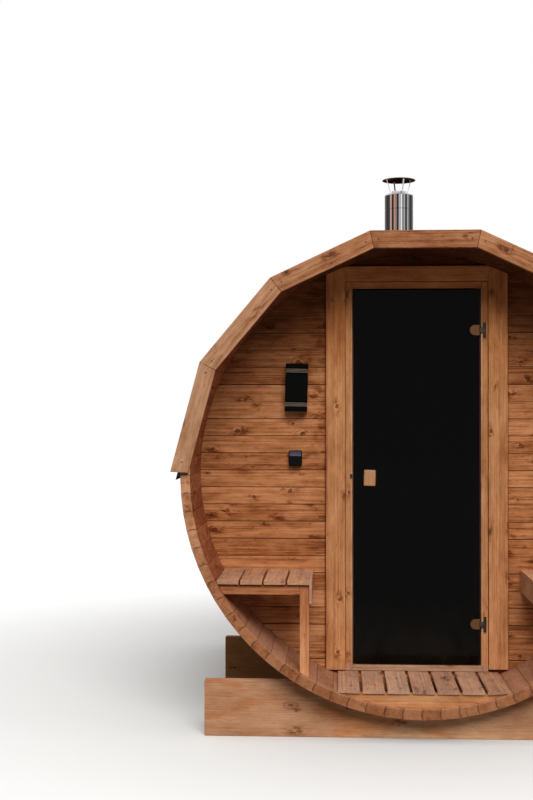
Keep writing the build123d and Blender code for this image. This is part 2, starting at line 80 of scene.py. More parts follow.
# %% Name the shared sizes
fit = 0.3 * mm
axis_z = 1211 * mm
outside_radius, stave_thickness = 1100 * mm, 45 * mm
inside_radius = outside_radius - stave_thickness
panel_radius = inside_radius - fit
front_rim, rear_rim = -1250 * mm, 1250 * mm
wall_front, wall_back = -807 * mm, -762 * mm
frame_half, frame_bottom, frame_top = 345 * mm, 244 * mm, 2134 * mm
opening_half, opening_bottom, opening_top = 311 * mm, 272 * mm, 2102 * mm
floor_top = 242 * mm
fascia_turn, fascia_centre = radians(25), Vector((12 * mm, axis_z - 15 * mm))
chimney_y, pipe_radius, pipe_top = 850 * mm, 88 * mm, 2843 * mm
print("doorway:", 2 * opening_half, "by", opening_top - opening_bottom)

# %% [markdown]
# ## Writing nodes as sums
# A node tree is easier to read as a formula. A Wire is one value on its way between nodes, and the signs
# +, -, * and / on wires add Math nodes. A Tree adds any other node: its settings come first, then what
# goes into its sockets. The same two classes serve finishes and geometry.

# %% Wires and trees
class Wire:
    """One value between nodes."""

    def __init__(self, tree, socket):
        self.tree, self.socket = tree, socket

    def out(self, name):
        return Wire(self.tree, self.socket.node.outputs[name])

    def maths(self, operation, *others):
        return self.tree.maths(operation, self, *others)

    def __abs__(self):
        return self.maths("ABSOLUTE")


def give_sign(sign, operation):
    """Makes one sign between wires and numbers add a Math node, whichever side the wire is on."""
    setattr(Wire, f"__{sign}__", lambda wire, other: wire.tree.maths(operation, wire, other))
    setattr(Wire, f"__r{sign}__", lambda wire, other: wire.tree.maths(operation, other, wire))


for sign, operation in (("add", "ADD"), ("sub", "SUBTRACT"), ("mul", "MULTIPLY"), ("truediv", "DIVIDE"),
                        ("pow", "POWER")):
    give_sign(sign, operation)


def socket_named(sockets, name):
    return next(socket for socket in sockets if socket.name.replace(" ", "_").lower() == name)


class Tree:
    """Adds nodes to one node tree."""

    def __init__(self, tree):
        self.tree = tree

    def feed(self, socket, value):
        if isinstance(value, Wire):
            self.tree.links.new(value.socket, socket)
        elif value is not None:
            socket.default_value = value

    def add(self, kind, settings=None, *values, **named):
        node = self.tree.nodes.new(kind)
        for key, value in (settings or {}).items():
            if key == "stops":
                while len(node.color_ramp.elements) < len(value):
                    node.color_ramp.elements.new(0.5)
                for element, (place, colour) in zip(node.color_ramp.elements, value):
                    element.position, element.color = place, colour
            else:
                setattr(node, key, value)
        sockets = [socket for socket in node.inputs if socket.enabled]
        for socket, value in zip(sockets, values):
            self.feed(socket, value)
        for name, value in named.items():
            self.feed(socket_named(sockets, name), value)
        outputs = [socket for socket in node.outputs if socket.enabled]
        return Wire(self, outputs[0]) if outputs else node

    def shade(self, **values):
        """Feeds the sockets of a finish's own shader."""
        for name, value in values.items():
            self.feed(socket_named(self.tree.nodes["Principled BSDF"].inputs, name), value)

    def maths(self, operation, *values):
        return self.add("ShaderNodeMath", {"operation": operation}, *values)

    def vector(self, operation, *values):
        return self.add("ShaderNodeVectorMath", {"operation": operation}, *values)

    def combine(self, x, y, z):
        return self.add("ShaderNodeCombineXYZ", None, x, y, z)

    def split(self, vector):
        parts = self.add("ShaderNodeSeparateXYZ", None, vector)
        return parts, parts.out("Y"), parts.out("Z")

    def place(self):
        return self.add("ShaderNodeTexCoord").out("Object")

    def attribute(self, name):
        return self.add("ShaderNodeAttribute", {"attribute_name": name}).out("Vector")

    def mix(self, share, first, second, blend="MIX"):
        return self.add("ShaderNodeMix", {"data_type": "RGBA", "blend_type": blend}, share, first, second)

    def times(self, paint, tint, share=1.0):
        return self.mix(share, paint, tint, "MULTIPLY")

    def ramp(self, stops, value):
        return self.add("ShaderNodeValToRGB", {"stops": stops}, value)

    def noise(self, place, scale=None, detail=2.0, roughness=0.5, distortion=0.0):
        """Noise round 0. A scale for each direction stretches it."""
        place = self.vector("MULTIPLY", place, scale) if scale else place
        return self.add("ShaderNodeTexNoise", {"noise_dimensions": "3D"}, vector=place, scale=1.0,
                        detail=detail, roughness=roughness, distortion=distortion) - 0.5

    def bump(self, height, strength, distance):
        return self.add("ShaderNodeBump", None, strength=strength, distance=distance * mm, height=height)

    def rise(self, value, low, high):
        """0 below low, 1 above high, smooth between."""
        smooth = {"interpolation_type": "SMOOTHSTEP"}
        return self.add("ShaderNodeMapRange", smooth, value, low, high, 0.0, 1.0)

    def fall(self, value, low, high):
        return 1 - self.rise(value, low, high)

    def band(self, value, low, full, fade, high):
        """Rises from low to full, and falls again from fade to high."""
        return self.rise(value, low, full) * self.fall(value, fade, high)


def rgba(colour, times=(1, 1, 1)):
    return (*[part * by for part, by in zip(colour, times)], 1.0)


def new_finish(name, colour):
    """A new material and its tree."""
    material = bpy.data.materials.new(name)
    material.use_nodes = True
    material.diffuse_color = rgba(colour)
    return material, Tree(material.node_tree)


# %% [markdown]
# ## Light
# The photograph has the even light of a grey day: dim at the horizon, bright further up. The world does
# the same with a soft rise, and one wide lamp stands in for the open part of the sky. To the camera, to
# metal and to glass the world is plain white, and the pale floor runs into it without a line.

# %% Build the studio
black, white = (0, 0, 0, 1), (1, 1, 1, 1)


def seen_directly(tree):
    """1 for rays of the camera, of reflections and of glass, and 0 for light that falls on things."""
    path = tree.add("ShaderNodeLightPath")
    mirrored = path.out("Is Glossy Ray").maths("MAXIMUM", path.out("Is Transmission Ray"))
    return path.maths("MAXIMUM", mirrored)


floor_mesh = bpy.data.meshes.new("studio_floor")
floor_mesh.from_pydata([(-30, -30, 0), (30, -30, 0), (30, 30, 0), (-30, 30, 0)], [], [(0, 1, 2, 3)])
studio_floor = add_object("studio_floor", floor_mesh)

floor_finish, tree = new_finish("studio_floor", (0.7, 0.7, 0.69))
place, seen = tree.place(), seen_directly(tree)
grit = tree.noise(place, (60, 60, 60), 3) * 0.3 + 0.5
far = tree.rise(tree.vector("LENGTH", place), 2.0, 4.5) * seen
pale = tree.mix(far, tree.mix(grit, (0.72, 0.715, 0.70, 1), (0.76, 0.755, 0.74, 1)), black)
tree.shade(base_color=tree.mix(seen, (0.13, 0.122, 0.115, 1), pale), roughness=0.9,
           emission_color=tree.mix(far, black, white), emission_strength=1.0)
floor_mesh.materials.append(floor_finish)

world = scene.world = bpy.data.worlds.new("studio")
world.use_nodes = True
tree = Tree(world.node_tree)
background = world.node_tree.nodes["Background"]
seen = seen_directly(tree)
sky = tree.rise(tree.split(tree.add("ShaderNodeTexCoord"))[2], 0.20, 0.95) * 1.30 + 0.03
tree.feed(background.inputs["Strength"], seen + (1 - seen) * sky)
background.inputs["Color"].default_value = white

lamp = add_object("key_lamp", bpy.data.lights.new("key_lamp", "AREA"))
lamp.data.shape, lamp.data.size, lamp.data.energy = "DISK", 7.0, 1030
lamp.location = (1.0, -9.6, 7.9)
lamp.rotation_euler = (Vector((0, 0, 1.2)) - lamp.location).to_track_quat("-Z", "Y").to_euler()
lamp.visible_camera = lamp.visible_glossy = False

# %% [markdown]
# ## Wood
# All boards share one formula. The rings of a log are the distance from its pith line, bent by slow
# noise. Cut along, they give flames and streaks, and cut across, they give arcs, with no extra work. Each
# board carries two attributes: "grain" says where a point lies in its own log, and "board" says how the
# board differs from its neighbours and how near its edge is. A tint may change the paint by place.

# %% Mix wood finishes
knot_cell_size = (0.24, 0.085)


def wood(name, colour, lines=0.5, patches=1.0, knots=0.5, tone=0.4, seam=0.0, weather=0.0, spacing=5.0,
         checks=0.0, shine=0.35, top_edge_highlight=0.0, place_tint=None):
    finish, tree = new_finish(name, colour)
    rise, fall, band, mix = tree.rise, tree.fall, tree.band, tree.mix
    grain = tree.attribute("grain")
    along, across, through = tree.split(grain)
    shade, patch, edge = tree.split(tree.attribute("board"))

    def stretched(x, y, z, *detail):
        return tree.noise(grain, (x, y, z), *detail)

    def tinted(*times):
        return rgba(colour, times)

    # Knots: scattered points in cells that are long and narrow, with an outline bent by noise
    spot = tree.combine((along + stretched(34, 30, 30) * 0.020) / knot_cell_size[0],
                        (across + stretched(24, 44, 31) * 0.013) / knot_cell_size[1], patch * 7)
    knot_cell = tree.add("ShaderNodeTexVoronoi", {"voronoi_dimensions": "3D"}, vector=spot, scale=1.0,
                         randomness=0.95)
    gap = tree.vector("SUBTRACT", spot, knot_cell.out("Position"))
    gap = tree.vector("MULTIPLY", gap, (*knot_cell_size, 0.0))
    gap_along, gap_across, _ = tree.split(gap)
    chance, knot_size, _ = tree.split(knot_cell.out("Color"))
    there = rise(chance, 1 - knots, 1.02 - knots)
    reach = tree.vector("LENGTH", tree.vector("MULTIPLY", gap, (0.8, 1.0, 1.0)))
    reach = reach / (knot_size * 0.007 + 0.0026)
    knot = there * fall(reach, 0.7, 1.15)
    rim = there * band(reach, 0.6, 0.95, 1.05, 1.5) * rise(stretched(60, 60, 60), -0.12, 0.1)
    halo = there * fall(reach, 1.0, 5.0)
    wide = (gap_along * gap_along * 0.16 + gap_across * gap_across) ** 0.5 / (knot_size * 0.016 + 0.008)
    smudge = fall(wide, 0.3, 1.5) * rise(stretched(22, 50, 50, 4, 0.65), -0.10, 0.14)
    smudge = smudge * rise(chance, 0.85 - knots, 1.0 - knots)
    arc = there * band(reach, 1.0, 1.5, 1.6, 2.6) * rise(gap_across, -0.004, 0.006)

    # Rings round the pith, pushed aside by knots
    flat = across + stretched(1.1, 5, 5) * 0.030 + stretched(6, 16, 16) * 0.006
    ring = ((flat * flat + through * through) ** 0.5 + halo * 0.008) / (spacing * mm)
    late = band(ring.maths("FRACT"), 0.30, 0.85, 0.90, 1.0)
    fibre = stretched(16, 480, 480, 3, 0.6)
    streak = stretched(3.5, 85, 85, 3, 0.65)
    cloud = stretched(3.0, 11, 11, 3, 0.6)
    mottle = rise(stretched(11, 30, 30, 5, 0.68), -0.22, 0.22) - 0.5
    fleck = rise(stretched(30, 110, 110), 0.13, 0.27)

    depth = (0.38 + (shade - 0.5) * tone + cloud * (1.0 * patches) + mottle * (0.26 * patches)
             + streak * (0.95 * lines) + late * (0.20 * lines) + fibre * 0.42 + fleck * (0.34 * patches)
             + smudge * 0.58 + halo * 0.05 - arc * 0.22)
    paint = tree.ramp([(0.00, tinted(1.42, 1.60, 1.85)), (0.40, rgba(colour)),
                       (0.75, tinted(0.60, 0.48, 0.40)), (1.00, tinted(0.30, 0.20, 0.16))], depth)
    paint = mix(knot * 0.8, paint, tinted(0.26, 0.19, 0.15))
    paint = mix(rim * 0.8, paint, tinted(0.10, 0.07, 0.06))
    if weather:
        worn = rise(streak + cloud, -0.22, 0.32) * weather
        paint = mix(worn, paint, rgba((sum(colour) / 3,) * 3, (1.28, 1.02, 0.90)))
    crack = 0.0
    if checks:
        crack = fall(abs(stretched(1.3, 85, 85)), 0.0, 0.018) * rise(cloud, 0.02, 0.12)
        paint = mix(crack * checks, paint, tinted(0.15, 0.10, 0.08))
    if place_tint:
        paint = place_tint(tree, paint, *tree.split(tree.place()))
    # Painted highlight: a lighter line along the upper edge of each board, where light from above would
    # catch it.
    if top_edge_highlight:
        paint = mix(band(edge, 0.90, 0.93, 0.955, 0.975) * top_edge_highlight, paint, tinted(1.5, 1.7, 1.9))
    if seam:
        dirt = rise(abs(edge), 1 - seam, 1 - seam * 0.4)
        paint = mix(dirt * 0.92, paint, tinted(0.13, 0.09, 0.08))
    height = late * 0.35 + fibre * 0.9 + streak * 0.5 + knot * 0.6 - crack * 1.5
    tree.shade(base_color=paint, roughness=0.58 + mottle * 0.3 + fibre * 0.2 + knot * -0.12,
               normal=tree.bump(height, 0.4, 0.9), specular_ior_level=shine)
    return finish


def stave_tint(tree, paint, x, y, z):
    """Inside: evened and a little paler near the floor, painted shade from bench height up and deep painted
    shade under the ceiling. Outside: darker near the ground.
    """
    out = (x * x + (z - axis_z) * (z - axis_z)) ** 0.5
    inside = tree.fall(out, inside_radius + 0.5 * mm, inside_radius + 2.5 * mm)
    paint = tree.mix(inside * tree.fall(z, 0.5, 1.0) * 0.55, paint, (0.36, 0.155, 0.078, 1))
    # Painted shade on the inside, from bench height up.
    inner_painted_shade = tree.mix(tree.rise(z, 0.4, 0.8), (0.96, 0.98, 1.06, 1), (0.74, 0.52, 0.42, 1))
    # Painted shade: much darker under the ceiling.
    ceiling_painted_shade = tree.mix(tree.rise(z, 1.65, 2.25), inner_painted_shade, (0.14, 0.08, 0.045, 1))
    # Outside: darker towards the ground.
    darkened = tree.mix(tree.rise(z, 0.6, 1.15), (0.70, 0.60, 0.50, 1), (1.08, 1.12, 1.12, 1))
    return tree.times(paint, tree.mix(inside, darkened, ceiling_painted_shade))


def wall_tint(tree, paint, x, y, z):
    """Painted shade under the ceiling, and stained where the boards end at the casings."""
    front = tree.fall(y, 0.0, 0.1)
    # Painted shade under the ceiling, on the front wall only.
    paint = tree.times(paint, (0.36, 0.25, 0.15, 1), tree.rise(z, 1.45, 2.2) * front)
    patchy = tree.rise(tree.noise(tree.combine(x * 14, y, z * 23), None, 3, 0.6), -0.06, 0.12)
    near = tree.band(x, -0.60, -0.46, -0.4, -0.3) * patchy * tree.rise(z, 1.1, 1.5)
    joint = tree.fall(abs(x), 0.441, 0.450)
    return tree.times(paint, (0.58, 0.42, 0.34, 1), near.maths("MAXIMUM", joint) * front)


def cradle_tint(tree, paint, x, y, z):
    """The front plank has orange stains and one large knot. Painted light pales its middle where the
    barrel's shadow falls, and painted shade darkens the rear planks.
    """
    # Painted light: paler in the middle, where the barrel shades the plank.
    pale = tree.mix(tree.rise(abs(x), 0.2, 0.5), (1.78, 2.02, 2.1, 1), (1.04, 1.06, 1.06, 1))
    stain = tree.rise(tree.noise(tree.combine(x * 4.2, y * 9, z * 9 + 3)), 0.0, 0.16)
    pale = tree.mix(stain * 0.8, pale, tree.times(pale, (0.92, 0.68, 0.50, 1)))
    # Painted shade: the rear planks are darker.
    darkened = tree.rise(y, -0.9, -0.8)
    eye = tree.vector("LENGTH", tree.combine((x + 0.60) * 0.5, 0.0, z - 0.146))
    swirl = (eye / (2.1 * mm)).maths("SINE") * 0.3 + 0.6
    swirl = swirl * tree.fall(eye, 4 * mm, 30 * mm) * (1 - darkened)
    paint = tree.mix(swirl, paint, (0.16, 0.055, 0.020, 1))
    return tree.times(paint, tree.mix(darkened, pale, (0.58, 0.50, 0.34, 1)))


def trim_tint(tree, paint, x, y, z):
    """Painted light by height: brighter and redder near the ceiling and a little brighter near the floor.
    Greyed on the threshold, with a pale edge round the glass and painted shade on the jamb faces in the
    opening.
    """
    # Painted light: this tint by height stands in for the porch's light, redder where bounced light falls.
    stops = [(0.15, (1.12, 1.10, 1.06, 1)), (0.45, (0.98, 0.96, 0.93, 1)), (0.68, (0.99, 0.97, 0.90, 1)),
             (0.82, (1.30, 1.12, 0.88, 1)), (0.95, (1.42, 1.15, 0.80, 1))]
    painted_light_and_marks = tree.ramp(stops, z / 2.4)
    worn = tree.band(z, 0.2425, 0.2435, 0.271, 0.274) * tree.fall(abs(x), 0.344, 0.346)
    painted_light_and_marks = tree.mix(worn, painted_light_and_marks, (0.86, 1.10, 1.55, 1))
    side = tree.band(z, 0.274, 0.276, 2.10, 2.101) * tree.fall(y, -0.72, -0.71)
    painted_light_and_marks = tree.mix(side * tree.fall(abs(x), 0.316, 0.320), painted_light_and_marks, (1.05, 1.32, 1.75, 1))
    # Painted shade on the jamb and stop faces inside the opening.
    painted_light_and_marks = tree.mix(side * tree.fall(abs(x), 0.3111, 0.3114), painted_light_and_marks, (0.30, 0.24, 0.20, 1))
    off = (abs(x) - frame_half).maths("MAXIMUM", z - frame_top)
    joint = tree.fall(abs(off), 0.8 * mm, 2.2 * mm) * tree.rise(z, 0.276, 0.28)
    painted_light_and_marks = tree.mix(joint * 0.8, painted_light_and_marks, (0.30, 0.22, 0.16, 1))
    return tree.times(paint, painted_light_and_marks)


def fascia_tint(tree, paint, x, y, z):
    """Bleached on the left, with dirt in the mitred joints."""
    angle = (x - fascia_centre.x).maths("ARCTAN2", z - fascia_centre.y) / fascia_turn
    near = (0.5 - abs((angle + 0.5).maths("FRACT") - 0.5)) * (fascia_turn * 1.13)
    joint = tree.fall(near, 0.7 * mm, 1.9 * mm) * tree.fall(abs(angle), 3.3, 3.35)
    bleached = tree.mix(tree.rise(x, -1.0, -0.3), (1.0, 1.12, 1.18, 1), (1.06, 1.05, 0.98, 1))
    return tree.mix(joint * 0.85, tree.times(paint, bleached), (0.045, 0.016, 0.007, 1))


def bench_tint(tree, paint, x, y, z):
    """Painted shadow just under the slats, and paler further down the legs."""
    # Painted shadow on the rails and legs just under the slats.
    under = tree.mix(tree.rise(z, 0.689, 0.712), white, (0.42, 0.30, 0.24, 1))
    return tree.times(paint, tree.mix(tree.rise(z, 0.35, 0.62), (1.32, 1.45, 1.55, 1), under))


weathered = {"lines": 0.9, "patches": 0.6, "weather": 0.28, "checks": 0.5, "shine": 0.2}
stave_wood = wood("stave_wood", (0.41, 0.176, 0.084), tone=0.50, seam=0.04, knots=0.35, lines=0.8,
                  patches=1.4, shine=0.12, place_tint=stave_tint)
wall_wood = wood("wall_wood", (0.46, 0.183, 0.071), tone=0.36, seam=0.065, knots=0.60, lines=1.1,
                 patches=1.15, shine=0.10, top_edge_highlight=0.6, place_tint=wall_tint)
trim_wood = wood("trim_wood", (0.475, 0.210, 0.089), tone=0.2, knots=0.30, lines=0.62, patches=0.8,
                 shine=0.15, place_tint=trim_tint)
fascia_wood = wood("fascia_wood", (0.405, 0.182, 0.090), tone=0.6, knots=0.35, lines=0.7, patches=0.9,
                   shine=0.2, place_tint=fascia_tint)
cradle_wood = wood("cradle_wood", (0.50, 0.242, 0.125), tone=0.2, knots=0.15, lines=0.35, patches=0.6,
                   spacing=8, checks=0.3, shine=0.12, place_tint=cradle_tint)
slat_wood = wood("slat_wood", (0.53, 0.262, 0.135), tone=0.25, knots=0.25, **weathered)
floor_wood = wood("floor_wood", (0.515, 0.262, 0.150), tone=0.3, knots=0.30, **weathered)
bench_wood = wood("bench_wood", (0.43, 0.160, 0.062), tone=0.3, knots=0.35, lines=0.6, patches=0.9,
                  shine=0.12, place_tint=bench_tint)
handle_wood = wood("handle_wood", (0.415, 0.20, 0.093), tone=0.1, knots=0.0, patches=0.4, spacing=3)
print("materials so far:", len(bpy.data.materials))

# %% [markdown]
# ## Boards as meshes
# A sawn board is a flat outline with a thickness, so a piece of joinery is a list of outlines. Each is
# lifted into a solid, its sharp edges are broken, and then every point is told where it lies in its
# board. The edges are broken first, so that the pattern runs over them without a seam.

# %% Collect boards in one mesh
def about(middle, half):
    """The span that reaches half, in millimetres, to both sides of a middle."""
    return middle - half * mm, middle + half * mm


def on_side(side, near, far):
    """A span of X on the left (-1) or the right (1)."""
    return sorted((side * near, side * far))


def arc(centre, radius, first, last, steps):
    """Points along an arc, from one angle to another."""
    angles = [first + (last - first) * step / steps for step in range(steps + 1)]
    return [Vector((centre[0] + radius * cos(angle), centre[1] + radius * sin(angle))) for angle in angles]


def rectangle(x, z):
    return [Vector(corner) for corner in ((x[0], z[0]), (x[1], z[0]), (x[1], z[1]), (x[0], z[1]))]


def cut_to(outline, normal, limit):
    """The part of a flat outline where normal . point <= limit."""
    kept = []
    for here, after in zip(outline, outline[1:] + outline[:1]):
        past, next_past = here.dot(normal) - limit, after.dot(normal) - limit
        if past <= 0:
            kept.append(here)
        if past * next_past < 0:
            kept.append(here.lerp(after, past / (past - next_past)))
    return kept


def in_the_round(x, z, steps=240):
    """A rectangle across the barrel, cut to the barrel's inner round."""
    ring = [Vector((cos(2 * pi * i / steps), sin(2 * pi * i / steps))) * panel_radius for i in range(steps)]
    sides = (((1, 0), x[1]), ((-1, 0), -x[0]), ((0, 1), z[1] - axis_z), ((0, -1), axis_z - z[0]))
    for normal, limit in sides:
        ring = cut_to(ring, Vector(normal), limit)
        if len(ring) < 3:
            return []
    return [point + Vector((0, axis_z)) for point in ring]


def show(name, mesh, finish, slot, replaced=(), body="sauna"):
    """Puts a finished mesh in the scene as a piece that rides on a body."""
    piece = add_object(name, mesh)
    if finish is not None:
        mesh.materials.clear()
        mesh.materials.append(finish)
    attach(piece, body)
    if replaced:
        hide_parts(*replaced)


class Boards:
    """Boards that end up in one mesh. Outlines are in X and Z, and the thickness runs along Y."""

    def __init__(self, seed, edge=2.0):
        self.chance = random.Random(seed)
        self.edge = edge * mm
        self.mesh = bmesh.new()
        self.number = self.mesh.verts.layers.int.new("number")
        self.lists = []

    def box(self, x, z, y, *kind):
        self.add(rectangle(x, z), y, *kind)

    def panel(self, x, z, y, *kind):
        self.add(in_the_round(x, z), y, *kind)

    def add(self, outline, y, grain="x", shade=None):
        """One board. grain is x, y, z or a direction in X and Z."""
        if len(outline) < 3:
            return
        area = sum(a.cross(b) for a, b in zip(outline, outline[1:] + outline[:1]))
        outline = outline if area > 0 else outline[::-1]
        front, back = ([self.mesh.verts.new((p.x, depth, p.y)) for p in outline] for depth in y)
        for vert in front + back:
            vert[self.number] = len(self.lists)
        self.mesh.faces.new(front)
        self.mesh.faces.new(back[::-1])
        for i in range(len(outline)):
            j = (i + 1) % len(outline)
            self.mesh.faces.new((front[j], front[i], back[i], back[j]))
        directions = {"x": Vector((1, 0, 0)), "y": Vector((0, 1, 0)), "z": Vector((0, 0, 1))}
        run = directions[grain] if isinstance(grain, str) else Vector((grain[0], 0, grain[1])).normalized()
        side = Vector((1, 0, 0)) if grain == "y" else Vector((-run.z, 0, run.x))
        middle = sum((Vector((p.x, sum(y) / 2, p.y)) for p in outline), Vector()) / len(outline)
        half = max(abs((Vector((p.x, middle.y, p.y)) - middle).dot(side)) for p in outline)
        uniform = self.chance.uniform
        pith = (uniform(-0.03, 0.03), self.chance.choice((-1, 1)) * uniform(0.03, 0.10))
        start = uniform(0, 60)
        shade = self.chance.random() if shade is None else shade
        patch = self.chance.random()
        self.lists.append((middle, run, side, run.cross(side), half, pith, start, shade, patch))

    def finish(self, name):
        """Breaks the sharp edges, writes the attributes and gives the mesh."""
        bm = self.mesh
        bm.normal_update()
        sharp = [edge for edge in bm.edges if edge.calc_face_angle(0) > radians(25)]
        bmesh.ops.bevel(bm, geom=sharp, offset=self.edge, offset_type="OFFSET", segments=2, profile=0.6,
                        affect="EDGES", clamp_overlap=True)
        grain = bm.verts.layers.float_vector.new("grain")
        board = bm.verts.layers.float_vector.new("board")
        for vert in bm.verts:
            middle, run, side, through, half, pith, start, shade, patch = self.lists[vert[self.number]]
            arm = vert.co - middle
            vert[grain] = (arm.dot(run) + start, arm.dot(side) + pith[0], arm.dot(through) + pith[1])
            vert[board] = (shade, patch, arm.dot(side) / half)
        print(name, "boards:", len(self.lists), "points:", len(bm.verts))
        return to_mesh(name, bm)

    def show(self, name, *kind):
        show(name, self.finish(name), *kind)


def to_mesh(name, bm, smooth_angle=None):
    mesh = bpy.data.meshes.new(name)
    bm.to_mesh(mesh)
    bm.free()
    if smooth_angle is not None:
        mesh.shade_smooth()
        mesh.set_sharp_from_angle(angle=radians(smooth_angle))
    return mesh


# %% [markdown]
# ## Growing what repeats
# Eighty staves, rows of slats, shingles and screws all follow a rule, so geometry nodes make them. The
# helper below builds a tree with named sizes, runs it once on an empty mesh and keeps the plain result.

# %% Run a geometry tree
class Rule(Tree):
    """A geometry tree with named inputs."""

    def __init__(self, name, **sizes):
        super().__init__(bpy.data.node_groups.new(name, "GeometryNodeTree"))
        self.sizes = sizes
        for way in ("INPUT", "OUTPUT"):
            self.tree.interface.new_socket("Geometry", in_out=way, socket_type="NodeSocketGeometry")
        for size, value in sizes.items():
            kind = "NodeSocketInt" if isinstance(value, int) else "NodeSocketFloat"
            self.tree.interface.new_socket(size, in_out="INPUT", socket_type=kind)
        self.entry = self.tree.nodes.new("NodeGroupInput")
        self.given = self.size("Geometry")

    def size(self, name):
        return Wire(self, self.entry.outputs[name])

    def join(self, *pieces):
        node = self.tree.nodes.new("GeometryNodeJoinGeometry")
        for piece in pieces:
            self.tree.links.new(piece.socket, node.inputs[0])
        return Wire(self, node.outputs[0])

    def store(self, geometry, name, value, domain="POINT"):
        settings = {"data_type": "FLOAT_VECTOR", "domain": domain}
        return self.add("GeometryNodeStoreNamedAttribute", settings, geometry, name=name, value=value)

    def named(self, name):
        return self.add("GeometryNodeInputNamedAttribute", {"data_type": "FLOAT_VECTOR"}, name)

    def position(self):
        return self.split(self.add("GeometryNodeInputPosition"))

    def chance(self, low, high, seed, kind="FLOAT_VECTOR"):
        return self.add("FunctionNodeRandomValue", {"data_type": kind}, low, high, seed=seed)

    def turn(self, x, y, z):
        return self.add("FunctionNodeEulerToRotation", None, self.combine(x, y, z))

    def points(self, count, place):
        return self.add("GeometryNodePoints", None, count, place)

    def copies(self, points, instance, rotation=None):
        return self.add("GeometryNodeInstanceOnPoints", None, points, instance=instance, rotation=rotation)

    def realize(self, copies):
        return self.add("GeometryNodeRealizeInstances", None, copies)

    def move(self, geometry, **where):
        return self.add("GeometryNodeSetPosition", None, geometry, **where)

    def cut(self, solid, tool, **where):
        tool = self.add("GeometryNodeTransform", None, tool, **where)
        settings = {"operation": "DIFFERENCE", "solver": "EXACT"}
        return self.add("GeometryNodeMeshBoolean", settings, solid, tool)

    def vary_grain(self, planks, seed):
        """Makes each repeated plank come from its own log: call it on instances."""
        log = self.chance((0, -0.03, 0.03), (60, 0.03, 0.10), seed)
        tone = self.chance((0, 0, 0), (1, 1, 0), seed + 1)
        planks = self.store(self.store(planks, "log", log, "INSTANCE"), "tone", tone, "INSTANCE")
        planks = self.realize(planks)
        planks = self.store(planks, "grain", self.vector("ADD", self.named("grain"), self.named("log")))
        tone = self.vector("SUBTRACT", self.named("tone"), (0.5, 0.5, 0))
        return self.store(planks, "board", self.vector("ADD", self.named("board"), tone))

    def show(self, name, result, finish, slot, replaced=(), body="sauna", base=None):
        """Ends the tree with realized instances and a finish, runs it and shows the plain mesh."""
        result = self.add("GeometryNodeSetMaterial", None, self.realize(result), material=finish)
        exit_node = self.tree.nodes.new("NodeGroupOutput")
        self.tree.links.new(result.socket, exit_node.inputs["Geometry"])
        holder = add_object(name, base or bpy.data.meshes.new(name))
        modifier = holder.modifiers.new(name, "NODES")
        modifier.node_group = self.tree
        for item in self.tree.interface.items_tree:
            if item.in_out == "INPUT" and item.name in self.sizes:
                modifier[item.identifier] = self.sizes[item.name]
        graph = bpy.context.evaluated_depsgraph_get()
        mesh = bpy.data.meshes.new_from_object(holder.evaluated_get(graph), preserve_all_data_layers=True,
                                               depsgraph=graph)
        mesh.name = name
        bpy.data.objects.remove(holder)
        print(name, "faces:", len(mesh.polygons))
        show(name, mesh, finish, slot, replaced, body)


# %% [markdown]
# ## The barrel
# The shell is eighty staves, milled with a bead on one edge and a cove on the other, so that each one
# turns a little in the next while the hoops are drawn tight. One stave is drawn, and a rule stands it in a
# ring, half a step off the level, so that a joint and not a stave lies at the top. The chimney's hole is
# bored through the finished shell, as on the real one.

# %% Mill one stave
stave_count, bead_depth, joint = 80, 6 * mm, 0.6 * mm
half_stave = pi / stave_count


def bead(share):
    """How far the bead swells past the joint line, from the inside (0) to the outside (1)."""
    return bead_depth * 4 * share * (1 - share)


def stave_edge(side, steps=8):
    """The points of one edge, from the inside out."""
    for step in range(steps + 1):
        swell = bead(step / steps) - side * joint / 2
        radius = inside_radius + stave_thickness * step / steps
        yield Vector((side * radius * tan(half_stave) + swell * cos(half_stave),
                      radius - side * swell * sin(half_stave)))


stave = Boards(4, 0.9)
stave.add(list(stave_edge(-1)) + list(stave_edge(1))[::-1], (front_rim, rear_rim), "y")
stave = stave.finish("one_stave")
for vert, board in zip(stave.vertices, stave.attributes["board"].data):
    swell = bead((vert.co.z - inside_radius) / stave_thickness)
    board.vector.z = (vert.co.x - swell) / (vert.co.z * tan(half_stave))

# %% Stand the staves in a ring
rule = Rule("stave_ring", staves=stave_count, hole=93 * mm)
angle = (rule.add("GeometryNodeInputIndex") + 0.5) * (2 * pi) / rule.size("staves")
ring = rule.copies(rule.points(rule.size("staves"), (0, 0, axis_z)), rule.given,
                   rule.turn(0.0, pi / 2 - angle, 0.0))
bore = rule.add("GeometryNodeMeshCylinder", None, vertices=48, radius=rule.size("hole"), depth=0.4)
ring = rule.cut(rule.vary_grain(ring, 5), bore, translation=(0, chimney_y, axis_z + outside_radius))
groups = ["right", "top_right", "top", "top_left", "left", "bottom_left", "bottom", "bottom_right"]
rule.show("staves", ring, stave_wood, "stave_wood", [f"staves_{group}" for group in groups], base=stave)

# %% [markdown]
# ## The end walls
# The walls are boards laid level, tongue in groove, with a small bevel along each joint. A board that
# meets the barrel is cut to its round, and at the doorway the boards stop at the frame.

# %% Lay the wall boards
board_height, first_joint, board_gap = 83.5 * mm, 131 * mm, 1.6 * mm
tongue_reach, tongue_inset = 6 * mm, 14 * mm


def lay_boards(wall, x, y, low=0.0, high=3.0):
    """Boards between two bounds, and a tongue in the middle of each joint."""
    joint = first_joint
    while joint < axis_z + panel_radius:
        z = (max(joint + board_gap / 2, low), min(joint + board_height - board_gap / 2, high))
        if z[1] > z[0] + 3 * mm:
            wall.panel(x, z, y)
            wall.panel(x, (max(z[0] - tongue_reach, low), z[0] + tongue_reach),
                       (y[0] + tongue_inset, y[1] - tongue_inset))
        joint += board_height


